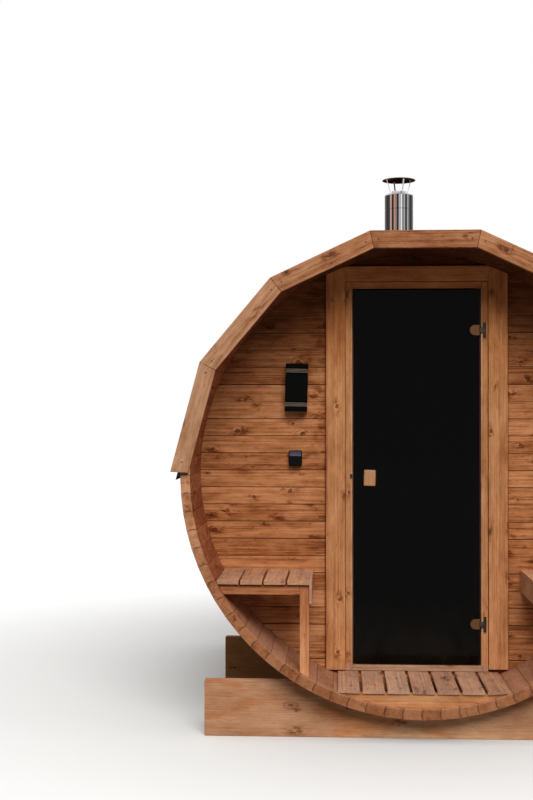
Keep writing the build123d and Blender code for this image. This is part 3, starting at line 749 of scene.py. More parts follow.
wall_y, rear_y = (wall_front, wall_back), [corner.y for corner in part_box("rear_wall")]
front_wall, rear_wall = Boards(11), Boards(12)
for side in (-1, 1):
    lay_boards(front_wall, on_side(side, frame_half + fit, 2), wall_y)
lay_boards(front_wall, (-frame_half, frame_half), wall_y, low=frame_top + fit)
lay_boards(front_wall, (-frame_half, frame_half), wall_y, high=frame_bottom - fit)
lay_boards(rear_wall, (-2, 2), rear_y)
front_wall.show("front_wall_boards", wall_wood, "wall_wood",
                ["front_wall_left", "front_wall_right", "front_wall_over_door", "front_wall_under_door"])
rear_wall.show("rear_wall_boards", wall_wood, "wall_wood", ["rear_wall"])

# %% [markdown]
# ## Casings, door frame and threshold
# The casings are planed boards that cover the joint between wall and frame. Their tops follow the round
# of the ceiling. The frame inside them stands back a little, and has a stop that the glass closes on.

# %% Join the casings and the frame
casing_reach, head_wide = 94 * mm, 75 * mm
casing_y = (wall_front - 25 * mm, wall_front)
casings = Boards(21, 2.5)
for side, foot, shade in ((-1, 248 * mm, 0.45), (1, 257 * mm, 0.5)):
    casing_x = on_side(side, frame_half + fit, frame_half + casing_reach)
    casings.panel(casing_x, (foot, 3), casing_y, "z", shade)
head_z = (frame_top + fit, frame_top + fit + head_wide)
casings.panel((-frame_half, frame_half), head_z, casing_y, "x", 0.4)
casings.show("casings", trim_wood, "trim_wood", ["casing_left", "casing_right", "casing_head"])

frame_y, stop_y, stop_wide = (-820 * mm, wall_back), (-803 * mm, wall_back), 14 * mm
door_frame = Boards(22)
for side in (-1, 1):
    door_frame.box(on_side(side, opening_half, frame_half), (frame_bottom, frame_top), frame_y, "z", 0.5)
    stop_x = on_side(side, opening_half - stop_wide, opening_half - fit)
    door_frame.box(stop_x, (opening_bottom, opening_top), stop_y, "z", 0.6)
head_x = (fit - opening_half, opening_half - fit)
door_frame.box(head_x, (opening_top, frame_top), frame_y, "x", 0.5)
door_frame.box(head_x, (frame_bottom, opening_bottom), frame_y, "x", 0.4)
door_frame.show("door_frame", trim_wood, "trim_wood", ["door_jambs", "door_head", "door_threshold"])

# %% [markdown]
# ## Cradles
# The barrel lies in three planks whose tops are sawn to its round. The saw cut is part of the outline,
# drawn as a run of short steps along the arc.

# %% Saw the cradles
cradle_half, cradle_top, corner = 1001 * mm, 259 * mm, 7 * mm
saddle_radius = 1101.2 * mm
corner_x, corner_z = cradle_half - corner, cradle_top - corner
horn = atan2(cradle_top - axis_z, sqrt(saddle_radius ** 2 - (axis_z - cradle_top) ** 2))
cradle_outline = [Vector((-cradle_half, 0)), Vector((cradle_half, 0))]
cradle_outline += arc((corner_x, corner_z), corner, 0, pi / 2, 6)
cradle_outline += arc((0, axis_z), saddle_radius, horn, -pi - horn, 60)
cradle_outline += arc((-corner_x, corner_z), corner, pi / 2, pi, 6)
cradles, cradle_nodes = Boards(31, 3.0), ["cradle_front", "cradle_middle", "cradle_rear"]
for node in cradle_nodes:
    cradles.add(cradle_outline, [corner.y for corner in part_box(node)], "x", 0.4)
cradles.show("cradles", cradle_wood, "trim_wood", cradle_nodes)

# %% [markdown]
# ## Floor slats and bench slats
# A floor in a sauna must drain, so it is made of slats with gaps. A rule lays a row of them, and then
# tucks in every point that would stand outside the barrel's round, as a joiner trims the outer slats.

# %% Lay rows of slats
floor_thick, bearer_thick = 18 * mm, 40 * mm


def slat_row(name, count, pitch, width, centre, y, top, finish, seed, thickness=floor_thick):
    """Slats along Y with rounded edges, whose points know their place in their own plank."""
    rule = Rule(name + "_rule", count=count, pitch=pitch, width=width, thickness=thickness,
                length=y[1] - y[0], edge=3.2 * mm)
    width, length, count = rule.size("width"), rule.size("length"), rule.size("count")
    section = rule.add("GeometryNodeCurvePrimitiveQuadrilateral", {"mode": "TRAPEZOID"}, bottom_width=width,
                       top_width=width, offset=0.0, height=rule.size("thickness"))
    section = rule.add("GeometryNodeFilletCurve", {"mode": "POLY"}, section, count=2,
                       radius=rule.size("edge"))
    line = rule.add("GeometryNodeCurvePrimitiveLine", None, start=rule.combine(0.0, length * -0.5, 0.0),
                    end=rule.combine(0.0, length * 0.5, 0.0))
    slat = rule.add("GeometryNodeCurveToMesh", None, line, section, fill_caps=True)
    x, along, z = rule.position()
    slat = rule.store(slat, "grain", rule.combine(along, x, z))
    slat = rule.store(slat, "board", rule.combine(0.5, 0.5, x / (width * 0.5)))
    row_x = (rule.add("GeometryNodeInputIndex") - (count - 1) * 0.5) * rule.size("pitch") + centre
    row = rule.copies(rule.points(count, rule.combine(row_x, sum(y) / 2, top - thickness / 2)), slat)
    height, trim_radius = z - axis_z, panel_radius - 0.5 * mm
    share = trim_radius / ((x * x + height * height) ** 0.5).maths("MAXIMUM", trim_radius)
    trimmed = rule.combine(x * share, along, height * share + axis_z)
    row = rule.move(rule.vary_grain(row, seed), position=trimmed)
    rule.show(name, row, finish, "slat_wood", [name + "_slats"])


slat_count, floor_pitch, floor_width, porch_shift = 7, 112.6 * mm, 99.5 * mm, 5 * mm
porch_y, room_y = (-1236 * mm, wall_front - fit), (wall_back + fit, rear_y[0] - fit)
for name, shift, y, seed in (("porch_floor", porch_shift, porch_y, 41), ("room_floor", 0.0, room_y, 42)):
    slat_row(name, slat_count, floor_pitch, floor_width, shift, y, floor_top, floor_wood, seed)

bearers, bearer_nodes = Boards(43, 1.5), ["porch_floor_bearers", "room_floor_bearers"]
bearer_z = (axis_z - panel_radius, floor_top - floor_thick)
for node, count in zip(bearer_nodes, (2, 4)):
    low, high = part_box(node)
    for i in range(count):
        start = low.y + (high.y - low.y - bearer_thick) * i / (count - 1)
        bearers.panel((-2, 2), bearer_z, (start, start + bearer_thick), "x", 0.45)
bearers.show("floor_bearers", trim_wood, "trim_wood", bearer_nodes)

# %% Build the benches
bench_top, bench_edge, bench_slats, slat_thick = 735 * mm, 501 * mm, 4, 21 * mm
bench_row, bench_pitch, bench_wide = bench_edge + 12.3 * mm, 107.5 * mm, 99 * mm
leg_wide, leg_deep, rail_high, rail_thick, side_high, side_thick = (size * mm for size in (
    43, 45, 47, 35, 107, 12))
bench_y = (-1235 * mm, wall_front - fit)
rail_z = (bench_top - slat_thick - rail_high, bench_top - slat_thick)
rail_front = bench_y[0] + 12 * mm
for side, place, seed in ((-1, "left", 51), (1, "right", 61)):
    name = f"bench_{place}"
    centre = side * (bench_row + (3 * bench_pitch + bench_wide) / 2)
    slat_row(name, bench_slats, bench_pitch, bench_wide, centre, bench_y, bench_top, slat_wood, seed,
             slat_thick)
    joinery = Boards(seed + 2)
    rail_x = on_side(side, bench_row + leg_wide + fit, 2)
    leg_x = on_side(side, bench_row, bench_row + leg_wide)
    side_x = on_side(side, bench_edge, bench_edge + side_thick)
    joinery.panel(rail_x, rail_z, (rail_front, rail_front + rail_thick), "x", 0.6)
    joinery.panel(on_side(side, bench_row, 2), rail_z, (bench_y[1] - rail_thick, bench_y[1]), "x", 0.6)
    joinery.panel(leg_x, (0, rail_z[1]), (rail_front, rail_front + leg_deep), "z", 0.3)
    joinery.box(side_x, (bench_top - side_high, bench_top), bench_y, "y", 0.5)
    joinery = joinery.finish(name + "_joinery")
    joinery.materials.append(bench_wood)
    joinery.materials.append(slat_wood)
    for polygon in joinery.polygons:
        polygon.material_index = int(joinery.attributes["number"].data[polygon.vertices[0]].value == 3)
    show(name + "_joinery", joinery, None, "stave_wood", [name + "_frame"])

# %% [markdown]
# ## Fascia
# Seven boards are mitred round the roof at each end, and hide the edge of the roof covering. Each is a
# trapezoid between two mitre lines, so its outline comes from two lengths and one angle.

# %% Mitre the fascia
fascia_wide, fascia_thick, fascia_tail = 80 * mm, 28 * mm, 19 * mm
fascia_corner_radius = 1152 * mm
fascia_outer = fascia_corner_radius * cos(fascia_turn / 2)
fascia_shades = (0.5, 0.6, 0.75, 0.8, 0.7, 0.45, 0.3)


def fascia_point(number, out, from_mitre, end):
    """A point of one board: how far out it is, and how far from the mitre line at one end (-1 or 1)."""
    turn = pi / 2 + fascia_turn * (number - 3)
    outward = Vector((cos(turn), sin(turn)))
    along = end * (out * tan(fascia_turn / 2) - from_mitre)
    return fascia_centre + outward * out + Vector((-outward.y, outward.x)) * along


corners = [(fascia_outer - fascia_wide, -1), (fascia_outer, -1), (fascia_outer, 1),
           (fascia_outer - fascia_wide, 1)]
fascia = Boards(71, 2.5)
for y in ((front_rim - fascia_thick + 0.4 * mm, front_rim), (rear_rim, rear_rim + fascia_thick - 0.4 * mm)):
    for number, shade in enumerate(fascia_shades):
        turn = pi / 2 + fascia_turn * (number - 3)
        tail_end = {0: -1, 6: 1}.get(number)
        outline = [fascia_point(number, out, fit - (fascia_tail if end == tail_end else 0), end)
                   for out, end in corners]
        fascia.add(outline, y, (-sin(turn), cos(turn)), shade)
fascia.show("fascia", fascia_wood, "trim_wood", ["fascia_front", "fascia_rear"])

# %% [markdown]
# ## Other finishes
# Steel is a bright metal with fine lines from its rolling or its lathe, so its roughness varies more than
# its colour; only the chimney pipe has painted reflections in its colour. The satin bronze of the hinge
# clamps is duller. Plastic is dark and nearly even, with a faint grain and dust. The felt is covered with
# stone granules, and each shingle left the works in its own tint.

# %% Mix metal, plastic, felt and glass
def steel(name, colour, rough, lines=(300, 300, 300), streak=0.5, glancing=1.0):
    finish, tree = new_finish(name, colour)
    place = tree.place()
    fine = tree.noise(place, lines, 3)
    wide = tree.noise(place, [part / 9 for part in lines])
    cloud = tree.noise(place, (14, 14, 14), 3)
    share = 0.5 + fine * 0.5 * streak + wide * 1.3 * streak + cloud * 0.3
    dull, bright = rgba(colour, (0.62, 0.62, 0.63)), rgba(colour, (1.25, 1.25, 1.24))
    tree.shade(base_color=tree.mix(share, dull, bright), metallic=1.0,
               roughness=rough + fine * 0.12 + cloud * 0.14 + wide * 0.1,
               specular_tint=rgba((glancing,) * 3, (1, 0.8, 0.7)) if glancing < 1 else white,
               normal=tree.bump(fine, 0.05, 0.3))
    return finish


def reflection_banded_steel(name):
    """Painted reflections on a bright pipe: upright bands of two unlike lengths, painted dark at the sides,
    one painted highlight line and one warm band.
    """
    finish, tree = new_finish(name, (0.4, 0.4, 0.4))
    x, y, z = tree.split(tree.place())
    across = x / (2 * pipe_radius) + 0.5 + tree.noise(tree.combine(x * 9, y * 9, z * 4)) * 0.025
    # Painted reflections: upright light and dark bands, darker towards the sides.
    reflection_wave = (across * 41).maths("SINE") + (across * 67).maths("SINE") * 0.6
    sides = tree.rise(abs(across - 0.5), 0.28, 0.47)
    reflected_grey = tree.rise(reflection_wave, -0.9, 1.6) * 0.45 * (1 - sides) + 0.02
    # Painted highlight: one bright upright line.
    line = tree.band(across, 0.52, 0.55, 0.57, 0.61)
    paint = tree.mix(line, tree.combine(reflected_grey, reflected_grey, reflected_grey), (0.85, 0.85, 0.85, 1))
    # Painted reflection: one warm band.
    warm_reflection = tree.band(across, 0.15, 0.22, 0.38, 0.42)
    paint = tree.times(paint, (1.35, 0.82, 0.66, 1), warm_reflection)
    fine = tree.noise(tree.combine(x * 260, y * 260, z * 3), None, 3)
    paint = tree.times(paint, (0.75, 0.75, 0.76, 1), fine * 0.5 + 0.2)
    rim = tree.rise(z, pipe_top - 9 * mm, pipe_top - 8 * mm)
    tree.shade(base_color=tree.mix(rim, paint, (0.66, 0.66, 0.65, 1)), metallic=1.0,
               roughness=0.14 + fine * 0.12, normal=tree.bump(fine, 0.05, 0.3))
    return finish


def plastic(name, colour, rough, shine):
    finish, tree = new_finish(name, colour)
    place = tree.place()
    pebble = tree.noise(place, (900, 900, 900))
    dust = tree.rise(tree.noise(place, (35, 35, 60), 4, 0.65), 0.02, 0.3)
    tree.shade(base_color=tree.mix(dust * 0.35, rgba(colour), rgba(colour, (2.2, 2.1, 1.9))),
               roughness=rough + dust * 0.25 + pebble * 0.1, normal=tree.bump(pebble, 0.12, 0.15),
               specular_ior_level=shine)
    return finish


def felt(name, colour):
    finish, tree = new_finish(name, colour)
    place = tree.place()
    grains = tree.add("ShaderNodeTexVoronoi", None, vector=place, scale=420.0)
    bright = tree.split(grains.out("Color"))[0]
    patch = tree.noise(place, (5, 5, 5), 4, 0.6)
    level = bright * 0.75 + tree.split(tree.attribute("tone"))[0] * 0.35 + patch * 0.5
    stops = [(0.0, rgba(colour, (0.35,) * 3)), (0.55, rgba(colour)), (1.0, rgba(colour, (2.6, 2.5, 2.4)))]
    tree.shade(base_color=tree.ramp(stops, level), roughness=0.82 + bright * 0.12,
               normal=tree.bump(1 - grains, 0.7, 0.8))
    return finish


def tinted_glass(name):
    """Dark glass with a faint film. Near the ground a brown film is partly splashes and partly a painted
    reflection of the floor slats.
    """
    finish, tree = new_finish(name, (0.012, 0.011, 0.010))
    place = tree.place()
    smear = tree.noise(place, (6, 6, 3), 5, 0.6, 0.8)
    film = tree.mix(0.5 + smear, (0.005, 0.004, 0.003, 1), (0.010, 0.009, 0.007, 1))
    # Near the ground: partly splashes, partly a painted reflection of the floor slats.
    splash_and_reflection = tree.fall(tree.split(place)[2] + smear * 0.25, 0.3, 0.62) * tree.rise(smear, -0.2, 0.3)
    tree.shade(base_color=tree.mix(splash_and_reflection * 0.8, film, (0.13, 0.085, 0.05, 1)), ior=1.13,
               roughness=0.03 + tree.rise(smear, 0.0, 0.3) * 0.05, transmission_weight=0.9)
    return finish


pipe_steel = reflection_banded_steel("pipe_steel")
cap_steel = steel("cap_steel", (0.052, 0.034, 0.025), 0.30, (40, 40, 12), streak=1.5, glancing=0.3)
leg_steel = steel("leg_steel", (0.62, 0.62, 0.60), 0.22, (60, 60, 60), streak=0.8)
band_steel = steel("band_steel", (0.37, 0.37, 0.365), 0.32, (20, 400, 20))
screw_steel = steel("screw_steel", (0.45, 0.43, 0.40), 0.30)
dark_screw = steel("dark_screw", (0.085, 0.060, 0.045), 0.42)
clamp_bronze = steel("clamp_bronze", (0.150, 0.070, 0.030), 0.40, (500, 40, 500))
hinge_steel = steel("hinge_steel", (0.060, 0.048, 0.040), 0.35, (300, 300, 20), streak=0.8)
black_plastic = plastic("black_plastic", (0.0026, 0.0026, 0.0022), 0.5, 0.03)
switch_plastic = plastic("switch_plastic", (0.0040, 0.0040, 0.0040), 0.35, 0.05)
lid_plastic = plastic("lid_plastic", (0.060, 0.056, 0.082), 0.2, 0.4)
lamp_lens = plastic("lamp_lens", (0.15, 0.12, 0.088), 0.35, 0.2)
roof_felt = felt("roof_felt", (0.030, 0.029, 0.030))
door_tint = tinted_glass("door_tint")
print("materials:", len(bpy.data.materials))

# %% [markdown]
# ## Screws
# Countersunk screws hold the fascia, the slats and the hinge clamps. One head is a shallow disc with a
# cross cut in it, and a rule puts a copy at every point of a small mesh that only says where screws go and
# which way they look.

# %% Drive the screws
to_front, to_rear, upward = (0, -1, 0), (0, 1, 0), (0, 0, 1)


def screw_points(places):
    """A mesh of loose points, each with the direction that its screw head looks in."""
    mesh = bpy.data.meshes.new("screw_points")
    mesh.from_pydata([place for place, _ in places], [], [])
    facing = mesh.attributes.new("facing", "FLOAT_VECTOR", "POINT")
    facing.data.foreach_set("vector", [part for _, way in places for part in way])
    return mesh


def drive_screws(name, places, radius, slot="stainless_steel", body="sauna"):
    rule = Rule(name + "_rule", radius=radius, height=1.2 * mm, recess=0.9 * mm)
    radius, height = rule.size("radius"), rule.size("height")
    head = rule.add("GeometryNodeMeshCylinder", None, vertices=14, radius=radius, depth=height)
    bar = rule.combine(radius * 1.1, radius * 0.28, rule.size("recess"))
    bar = rule.add("GeometryNodeMeshCube", None, size=bar)
    for quarter in (0, pi / 2):
        head = rule.cut(head, bar, translation=rule.combine(0.0, 0.0, height * 0.5),
                        rotation=(0, 0, quarter))
    turn = rule.add("FunctionNodeAlignRotationToVector", {"axis": "Z"}, vector=rule.named("facing"))
    spin = rule.turn(0.0, 0.0, rule.chance(0.0, 3.0, 3, "FLOAT"))
    turn = rule.add("FunctionNodeRotateRotation", {"rotation_space": "LOCAL"}, turn, spin)
    rule.show(name, rule.copies(rule.given, head, turn), dark_screw, slot, (), body, screw_points(places))


places = []
for number in range(7):
    for end in (-1, 1):
        spot = fascia_point(number, fascia_outer - fascia_wide / 2, 30 * mm, end)
        places.append(((spot.x, front_rim - fascia_thick + 0.7 * mm, spot.y), to_front))
        places.append(((spot.x, rear_rim + fascia_thick - 0.7 * mm, spot.y), to_rear))
drive_screws("fascia_screws", places, 4.2 * mm)

rows = []
for i in range(slat_count):
    for y in (porch_y[0] + 26 * mm, porch_y[1] - 24 * mm, room_y[0] + 22 * mm, room_y[1] - 22 * mm):
        rows.append(((i - 3) * floor_pitch + (porch_shift if y < wall_front else 0), y, floor_top, 28 * mm))
for side in (-1, 1):
    for i in range(bench_slats):
        for y in (rail_front + 18 * mm, bench_y[1] - 18 * mm):
            rows.append((side * (bench_row + bench_wide / 2 + i * bench_pitch), y, bench_top, 26 * mm))
places = [((x + side * apart, y, top - 0.4 * mm), upward) for x, y, top, apart in rows for side in (-1, 1)]
drive_screws("slat_screws", places, 3.4 * mm)

# %% [markdown]
# ## Turned and folded metal
# The chimney pipe, its cap and the hinge knuckles are round, so a profile of radius and height is swept
# round an axis. The cap's legs are flat strips, folded at both ends: a strip is a path with a width. Both
# are rings of points with faces between each ring and the next.

# %% Turn a profile and fold a strip
def skin(bm, rings):
    """Faces between each ring and the next, where a ring may be one point."""
    for first, second in zip(rings, rings[1:]):
        for i in range(max(len(first), len(second))):
            corners = [first[i % len(first)], first[(i + 1) % len(first)],
                       second[(i + 1) % len(second)], second[i % len(second)]]
            kept = [corner for n, corner in enumerate(corners) if corner not in corners[:n]]
            if len(kept) > 2:
                bm.faces.new(kept)


def turned(name, profile, centre, steps=72, closed=True):
    """A profile of (radius, height) swept round an upright axis. A radius of 0 becomes one point."""
    bm, rings = bmesh.new(), []
    for radius, height in profile:
        angles = [2 * pi * i / steps for i in range(steps if radius > 1e-6 else 1)]
        rings.append([bm.verts.new((centre[0] + radius * cos(a), centre[1] + radius * sin(a), height))
                      for a in angles])
    skin(bm, rings + rings[:1] if closed else rings)
    bmesh.ops.recalc_face_normals(bm, faces=bm.faces)
    return to_mesh(name, bm, 35)


def joined(name, *meshes):
    bm = bmesh.new()
    for mesh in meshes:
        bm.from_mesh(mesh)
    smooth = any(polygon.use_smooth for mesh in meshes for polygon in mesh.polygons)
    return to_mesh(name, bm, 35 if smooth else None)


def strip(name, path, width, thickness, side):
    """A flat strip along a path. side is the direction of its width."""
    bm, rings = bmesh.new(), []
    for i, point in enumerate(path):
        before, after = path[max(i - 1, 0)], path[min(i + 1, len(path) - 1)]
        up = (after - before).normalized().cross(side).normalized()
        rings.append([bm.verts.new(point + side * a * width / 2 + up * b * thickness / 2)
                      for a, b in ((-1, -1), (1, -1), (1, 1), (-1, 1))])
    skin(bm, rings)
    bm.faces.new(rings[0])
    bm.faces.new(rings[-1][::-1])
    bmesh.ops.recalc_face_normals(bm, faces=bm.faces)
    return to_mesh(name, bm)


# %% [markdown]
# ## Chimney
# A stove pipe inside a bright outer pipe comes up through the roof near the rear. The outer pipe ends in a
# rolled rim and a shallow cone, and the inner one stands a little out of it. Four folded strips, turned a
# little off the square as in the photograph, carry the rain cap.

# %% Turn the pipe and its cap
chimney, flue_radius, bore_radius = (0, chimney_y), 46 * mm, 43.5 * mm


def profile_from(radius, height, *steps):
    """Points of a profile that lie some millimetres out and up from one radius and height."""
    return [(radius + out * mm, height + up * mm) for out, up in steps]


pipe_low, flue_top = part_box("chimney_pipe")[0].z, pipe_top + 19 * mm
profile = [(bore_radius, pipe_low), (pipe_radius, pipe_low)]
profile += profile_from(pipe_radius, pipe_top, (0, -98), (-1.2, -96.5), (-1.2, -93.5), (0, -92), (0, -9))
profile += arc((pipe_radius - 2 * mm, pipe_top - 5 * mm), 3.4 * mm, -1.2, 2.4, 6)
profile += profile_from(pipe_radius, pipe_top, (-6, -2))
profile += profile_from(flue_radius, flue_top, (3, -10), (0, -9), (0, -3), (1.6, -2), (1, 0), (-2, 0),
                        (-2.5, -3))
show("chimney_tube", turned("chimney_tube", profile, chimney, 96), pipe_steel, "stainless_steel",
     ["chimney_pipe"])

low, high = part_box("chimney_cap")
cap_radius, cap_z, cap_top = high.x, low.z, high.z
profile = [(0, cap_top), (cap_radius * 0.5, cap_top - 8.2 * mm)]
profile += profile_from(cap_radius, cap_z, (-5, 5), (-1, 3.6), (0, 2), (-0.8, 0), (-3, 1), (-5, 3.4))
profile += [(cap_radius * 0.5, cap_top - 9.8 * mm), (0, cap_top - 1.6 * mm)]
show("rain_cap", turned("rain_cap", profile, chimney, 96, closed=False), cap_steel, "stainless_steel",
     ["chimney_cap"])

legs = []
leg_path = profile_from(0, pipe_top, (70, 6.0), (58, 8.6), (56, 13))
leg_path += profile_from(0, cap_z, (79, 1.2), (82, 3.0), (72, 4.4))
for quarter in range(4):
    turn = radians(19 + 90 * quarter)
    outward = Vector((cos(turn), sin(turn), 0))
    path = [outward * out + Vector((0, chimney_y, height)) for out, height in leg_path]
    legs.append(strip("leg", path, 9 * mm, 1.6 * mm, Vector((-outward.y, outward.x, 0))))
show("cap_legs", joined("cap_legs", *legs), leg_steel, "stainless_steel", ["chimney_cap_legs"])

# %% [markdown]
# ## Shingles
# The upper half of the barrel is covered with felt shingles. They are easiest to lay flat, as on a bench:
# x is the way round the barrel from the ridge, y runs along it and z is height. Each tab is a thin wedge
# that lies on the one below. When all are laid, one formula wraps the sheet round the barrel, and a row
# of caps closes the ridge.

# %% Lay the shingles and wrap them
covering_low, covering_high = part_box("roof_covering")
roof_radius = covering_high.z - axis_z - 3.8 * mm
eave_run = roof_radius * (pi / 2 + (axis_z - covering_low.z) / roof_radius)
course_count, ridge_caps = 12, 18
rule = Rule("shingle_rule", courses=course_count, tabs=9, exposure=(eave_run - 30 * mm) / course_count,
            length=205 * mm, pitch=(rear_rim - front_rim) / 8, slot=6 * mm, thickness=2.4 * mm,
            lift=3.4 * mm, run=eave_run)
courses, tabs, exposure, length, pitch, slot, thickness, lift, run = (
    rule.size(name) for name in rule.sizes)


def wedge(size_x, size_y, along, vertices_x):
    """A thin slab that rises towards its lower end; along is the wire of its slope, from 0 to 1."""
    slab = rule.add("GeometryNodeMeshCube", None, size=rule.combine(size_x, size_y, thickness),
                    vertices_x=vertices_x)
    return rule.move(slab, offset=rule.combine(0.0, 0.0, along * lift + thickness * 0.5))


def on_roof(count, place, instance, rotation=None):
    """Copies at points that lie between the two rims."""
    points = rule.add("GeometryNodeDeleteGeometry", {"domain": "POINT"}, rule.points(count, place),
                      abs(y).maths("GREATER_THAN", rear_rim + 1 * mm))
    return rule.copies(points, instance, rotation)


x, y, z = rule.position()
index = rule.add("GeometryNodeInputIndex")
side = (index / (courses * tabs)).maths("FLOOR")
rest = index - side * courses * tabs
course = (rest / tabs).maths("FLOOR")
tab_y = (rest - course * tabs - (tabs - 1) * 0.5 + course.maths("MODULO", 2.0) * 0.5) * pitch
tab_x = (run - course * exposure - length * 0.5) * (1 - side * 2)
tab = wedge(length, pitch - slot, x / length + 0.5, 7)
turn = x.maths("LESS_THAN", 0.0) * pi
field = on_roof(courses * tabs * 2, rule.combine(tab_x, tab_y, 0.0), tab, rule.turn(0.0, 0.0, turn))
ridge = wedge(240 * mm, length, 0.5 - y / length, 9)
ridge_y = (index + 0.5) * exposure + (front_rim + 60 * mm)
caps = on_roof(ridge_caps, rule.combine(0.0, ridge_y, lift + thickness), ridge)
roof = rule.store(rule.join(field, caps), "tone", rule.chance((-0.5, 0, 0), (0.5, 1, 1), 9), "INSTANCE")

sheet = rule.combine((run - 12 * mm) * 2, pitch * 8 - 6 * mm, 0.5 * mm)
underlay = rule.add("GeometryNodeMeshCube", None, size=sheet, vertices_x=121)
roof = rule.join(rule.move(underlay, offset=(0, 0, 0.35 * mm)), rule.realize(roof))
around = x / roof_radius
reach = z + roof_radius + rule.rise(abs(x), eave_run - 60 * mm, eave_run) * 14 * mm
clamped = y.maths("MAXIMUM", front_rim + 1 * mm).maths("MINIMUM", rear_rim - 1 * mm)
roof = rule.move(roof, position=rule.combine(around.maths("SINE") * reach, clamped,
                                             around.maths("COSINE") * reach + axis_z))
rule.show("shingles", roof, roof_felt, "bitumen_covering", ["roof_covering"])

# %% [markdown]
# ## Flashing
# Where the pipe comes through, a square sheet lies on the shingles and rises in a cone to the pipe. It is
# one skin: rings of points that start on the sheet's square edge, lie on the round of the roof, and climb
# from the cone's foot to the pipe.

# %% Draw the flashing
def flashing_skin(steps=72):
    sheet_radius, sheet_half = roof_radius + 15.5 * mm, 200 * mm
    foot, neck, neck_z = 125 * mm, pipe_radius + 1.6 * mm, axis_z + roof_radius + 95 * mm
    bm, rings = bmesh.new(), []
    for share in (0, 0.03, 0.5, 1, 1.12, 1.35, 1.6, 1.85, 2, 2.1):
        ring, climb = [], min(max(share - 1, 0), 1)
        for i in range(steps):
            across, along = cos(2 * pi * i / steps), sin(2 * pi * i / steps)
            edge = min(sheet_half / max(abs(across), abs(along)), 1.34 * sheet_half)
            reach = foot + (neck - foot) * climb ** 0.75 if climb else edge + (foot - edge) * min(share, 1)
            lying = axis_z + sqrt(sheet_radius ** 2 - (reach * across) ** 2)
            height = lying + (neck_z - lying) * climb ** 1.15 + max(share - 2, 0) * 120 * mm
            ring.append(bm.verts.new((reach * across, chimney_y + reach * along, height)))
        rings.append(ring)
    skin(bm, rings)
    bmesh.ops.solidify(bm, geom=bm.faces[:], thickness=1.6 * mm)
    bmesh.ops.recalc_face_normals(bm, faces=bm.faces)
    return to_mesh("flashing", bm, 40)


collar = profile_from(pipe_radius, axis_z + roof_radius + 106 * mm, (0.4, 14), (2, 14), (2.4, 6), (16, -6),
                      (15, -7), (0.4, 4))
flashing = joined("flashing", flashing_skin(), turned("storm_collar", collar, chimney))
show("flashing", flashing, band_steel, "stainless_steel", ["roof_flashing"])

# %% [markdown]
# ## Hoops
# The steel hoops are true as solids, so they stay and only get their finish: bright strip, drawn along its
# length. The bolts get a plain steel finish.

# %% Finish the hoops
for node, finish in (("hoops", band_steel), ("hoop_bolts", screw_steel)):
    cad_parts[node].data.materials.clear()
    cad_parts[node].data.materials.append(finish)

# %% [markdown]
# ## The door
# The leaf is one pane of dark glass with its edges ground. Two satin clamps hold it to the knuckles, and a
# wooden block on each face is the handle. All of it swings with the door, but the frame's half of each
# hinge stays.

# %% Hang the door
glass_front, glass_back, glass_half = -817 * mm, -809 * mm, 305 * mm
glass_bottom, glass_top = 278 * mm, 2096 * mm
glass = Boards(81, 1.2)
glass.box((-glass_half, glass_half), (glass_bottom, glass_top), (glass_front, glass_back), "z")
glass.show("door_pane", door_tint, "tinted_glass", ["door_glass"], "door")


def tilted(mesh, x, z):
    """Hangs a finished mesh a degree and a half out of level, round a point."""
    middle = Matrix.Translation((x, 0, z))
    mesh.transform(middle @ Matrix.Rotation(radians(1.5), 4, "Y") @ middle.inverted())
    return mesh


handle_x, handle_z, handle_depth = (-256 * mm, -199 * mm), (1142 * mm, 1219 * mm), 36 * mm
handle = Boards(82, 6.0)
handle.box(handle_x, handle_z, (glass_front - handle_depth, glass_front), "z", 0.4)
handle.box(handle_x, handle_z, (glass_back, glass_back + handle_depth), "z", 0.5)
handle = tilted(handle.finish("handle_block"), sum(handle_x) / 2, sum(handle_z) / 2)
show("handle_block", handle, handle_wood, "trim_wood", ["door_handle"], "door")

# %% Fit the hinges and the catch
hinge_x, hinge_y, hinge_heights = 328 * mm, -828 * mm, (474 * mm, 1898 * mm)
knuckle_pitch = 24.3 * mm
bushed = ((3.1, -12), (5, -12), (5, 12), (3.1, 12))
capped = ((0, -12), (4.4, -12), (5, -11.4), (5, 11.4), (4.4, 12), (0, 12))
pin = ((0, -37), (3, -37), (3, 37), (0, 37))
swinging, arms, fixed = [], [], []


def pivot(name, height, profile, steps=24, closed=False):
    """A knuckle or a pin, from a profile in millimetres round its own height."""
    return turned(name, profile_from(0, height, *profile), (hinge_x, hinge_y), steps, closed)


for height in hinge_heights:
    clamp = Boards(83, 1.6)
    outline = arc((glass_half - 22 * mm, height), 25.5 * mm, pi / 2, 3 * pi / 2, 20)
    outline += [Vector((glass_half, edge)) for edge in about(height, 25.5)]
    clamp.add(outline, (glass_front - 8 * mm, glass_front))
    clamp.box(about(glass_half - 30 * mm, 16), about(height, 25), (glass_back, glass_back + 6 * mm))
    swinging.append(clamp.finish("clamp"))
    arm, leaf = Boards(86, 1.2), Boards(84, 1.0)
    arm.box((glass_half - 3 * mm, hinge_x), about(height, 12), (hinge_y - 5 * mm, glass_front - 8.2 * mm))
    arms.append(arm.finish("arm"))
    arms.append(pivot("knuckle", height, bushed, closed=True))
    leaf.box(about(hinge_x, 7), about(height, 36), (-823 * mm, -820 * mm))
    fixed.append(leaf.finish("hinge_leaf"))
    fixed += [pivot("knuckle", height + side * knuckle_pitch, capped) for side in (-1, 1)]
    fixed.append(pivot("pin", height, pin, 20))
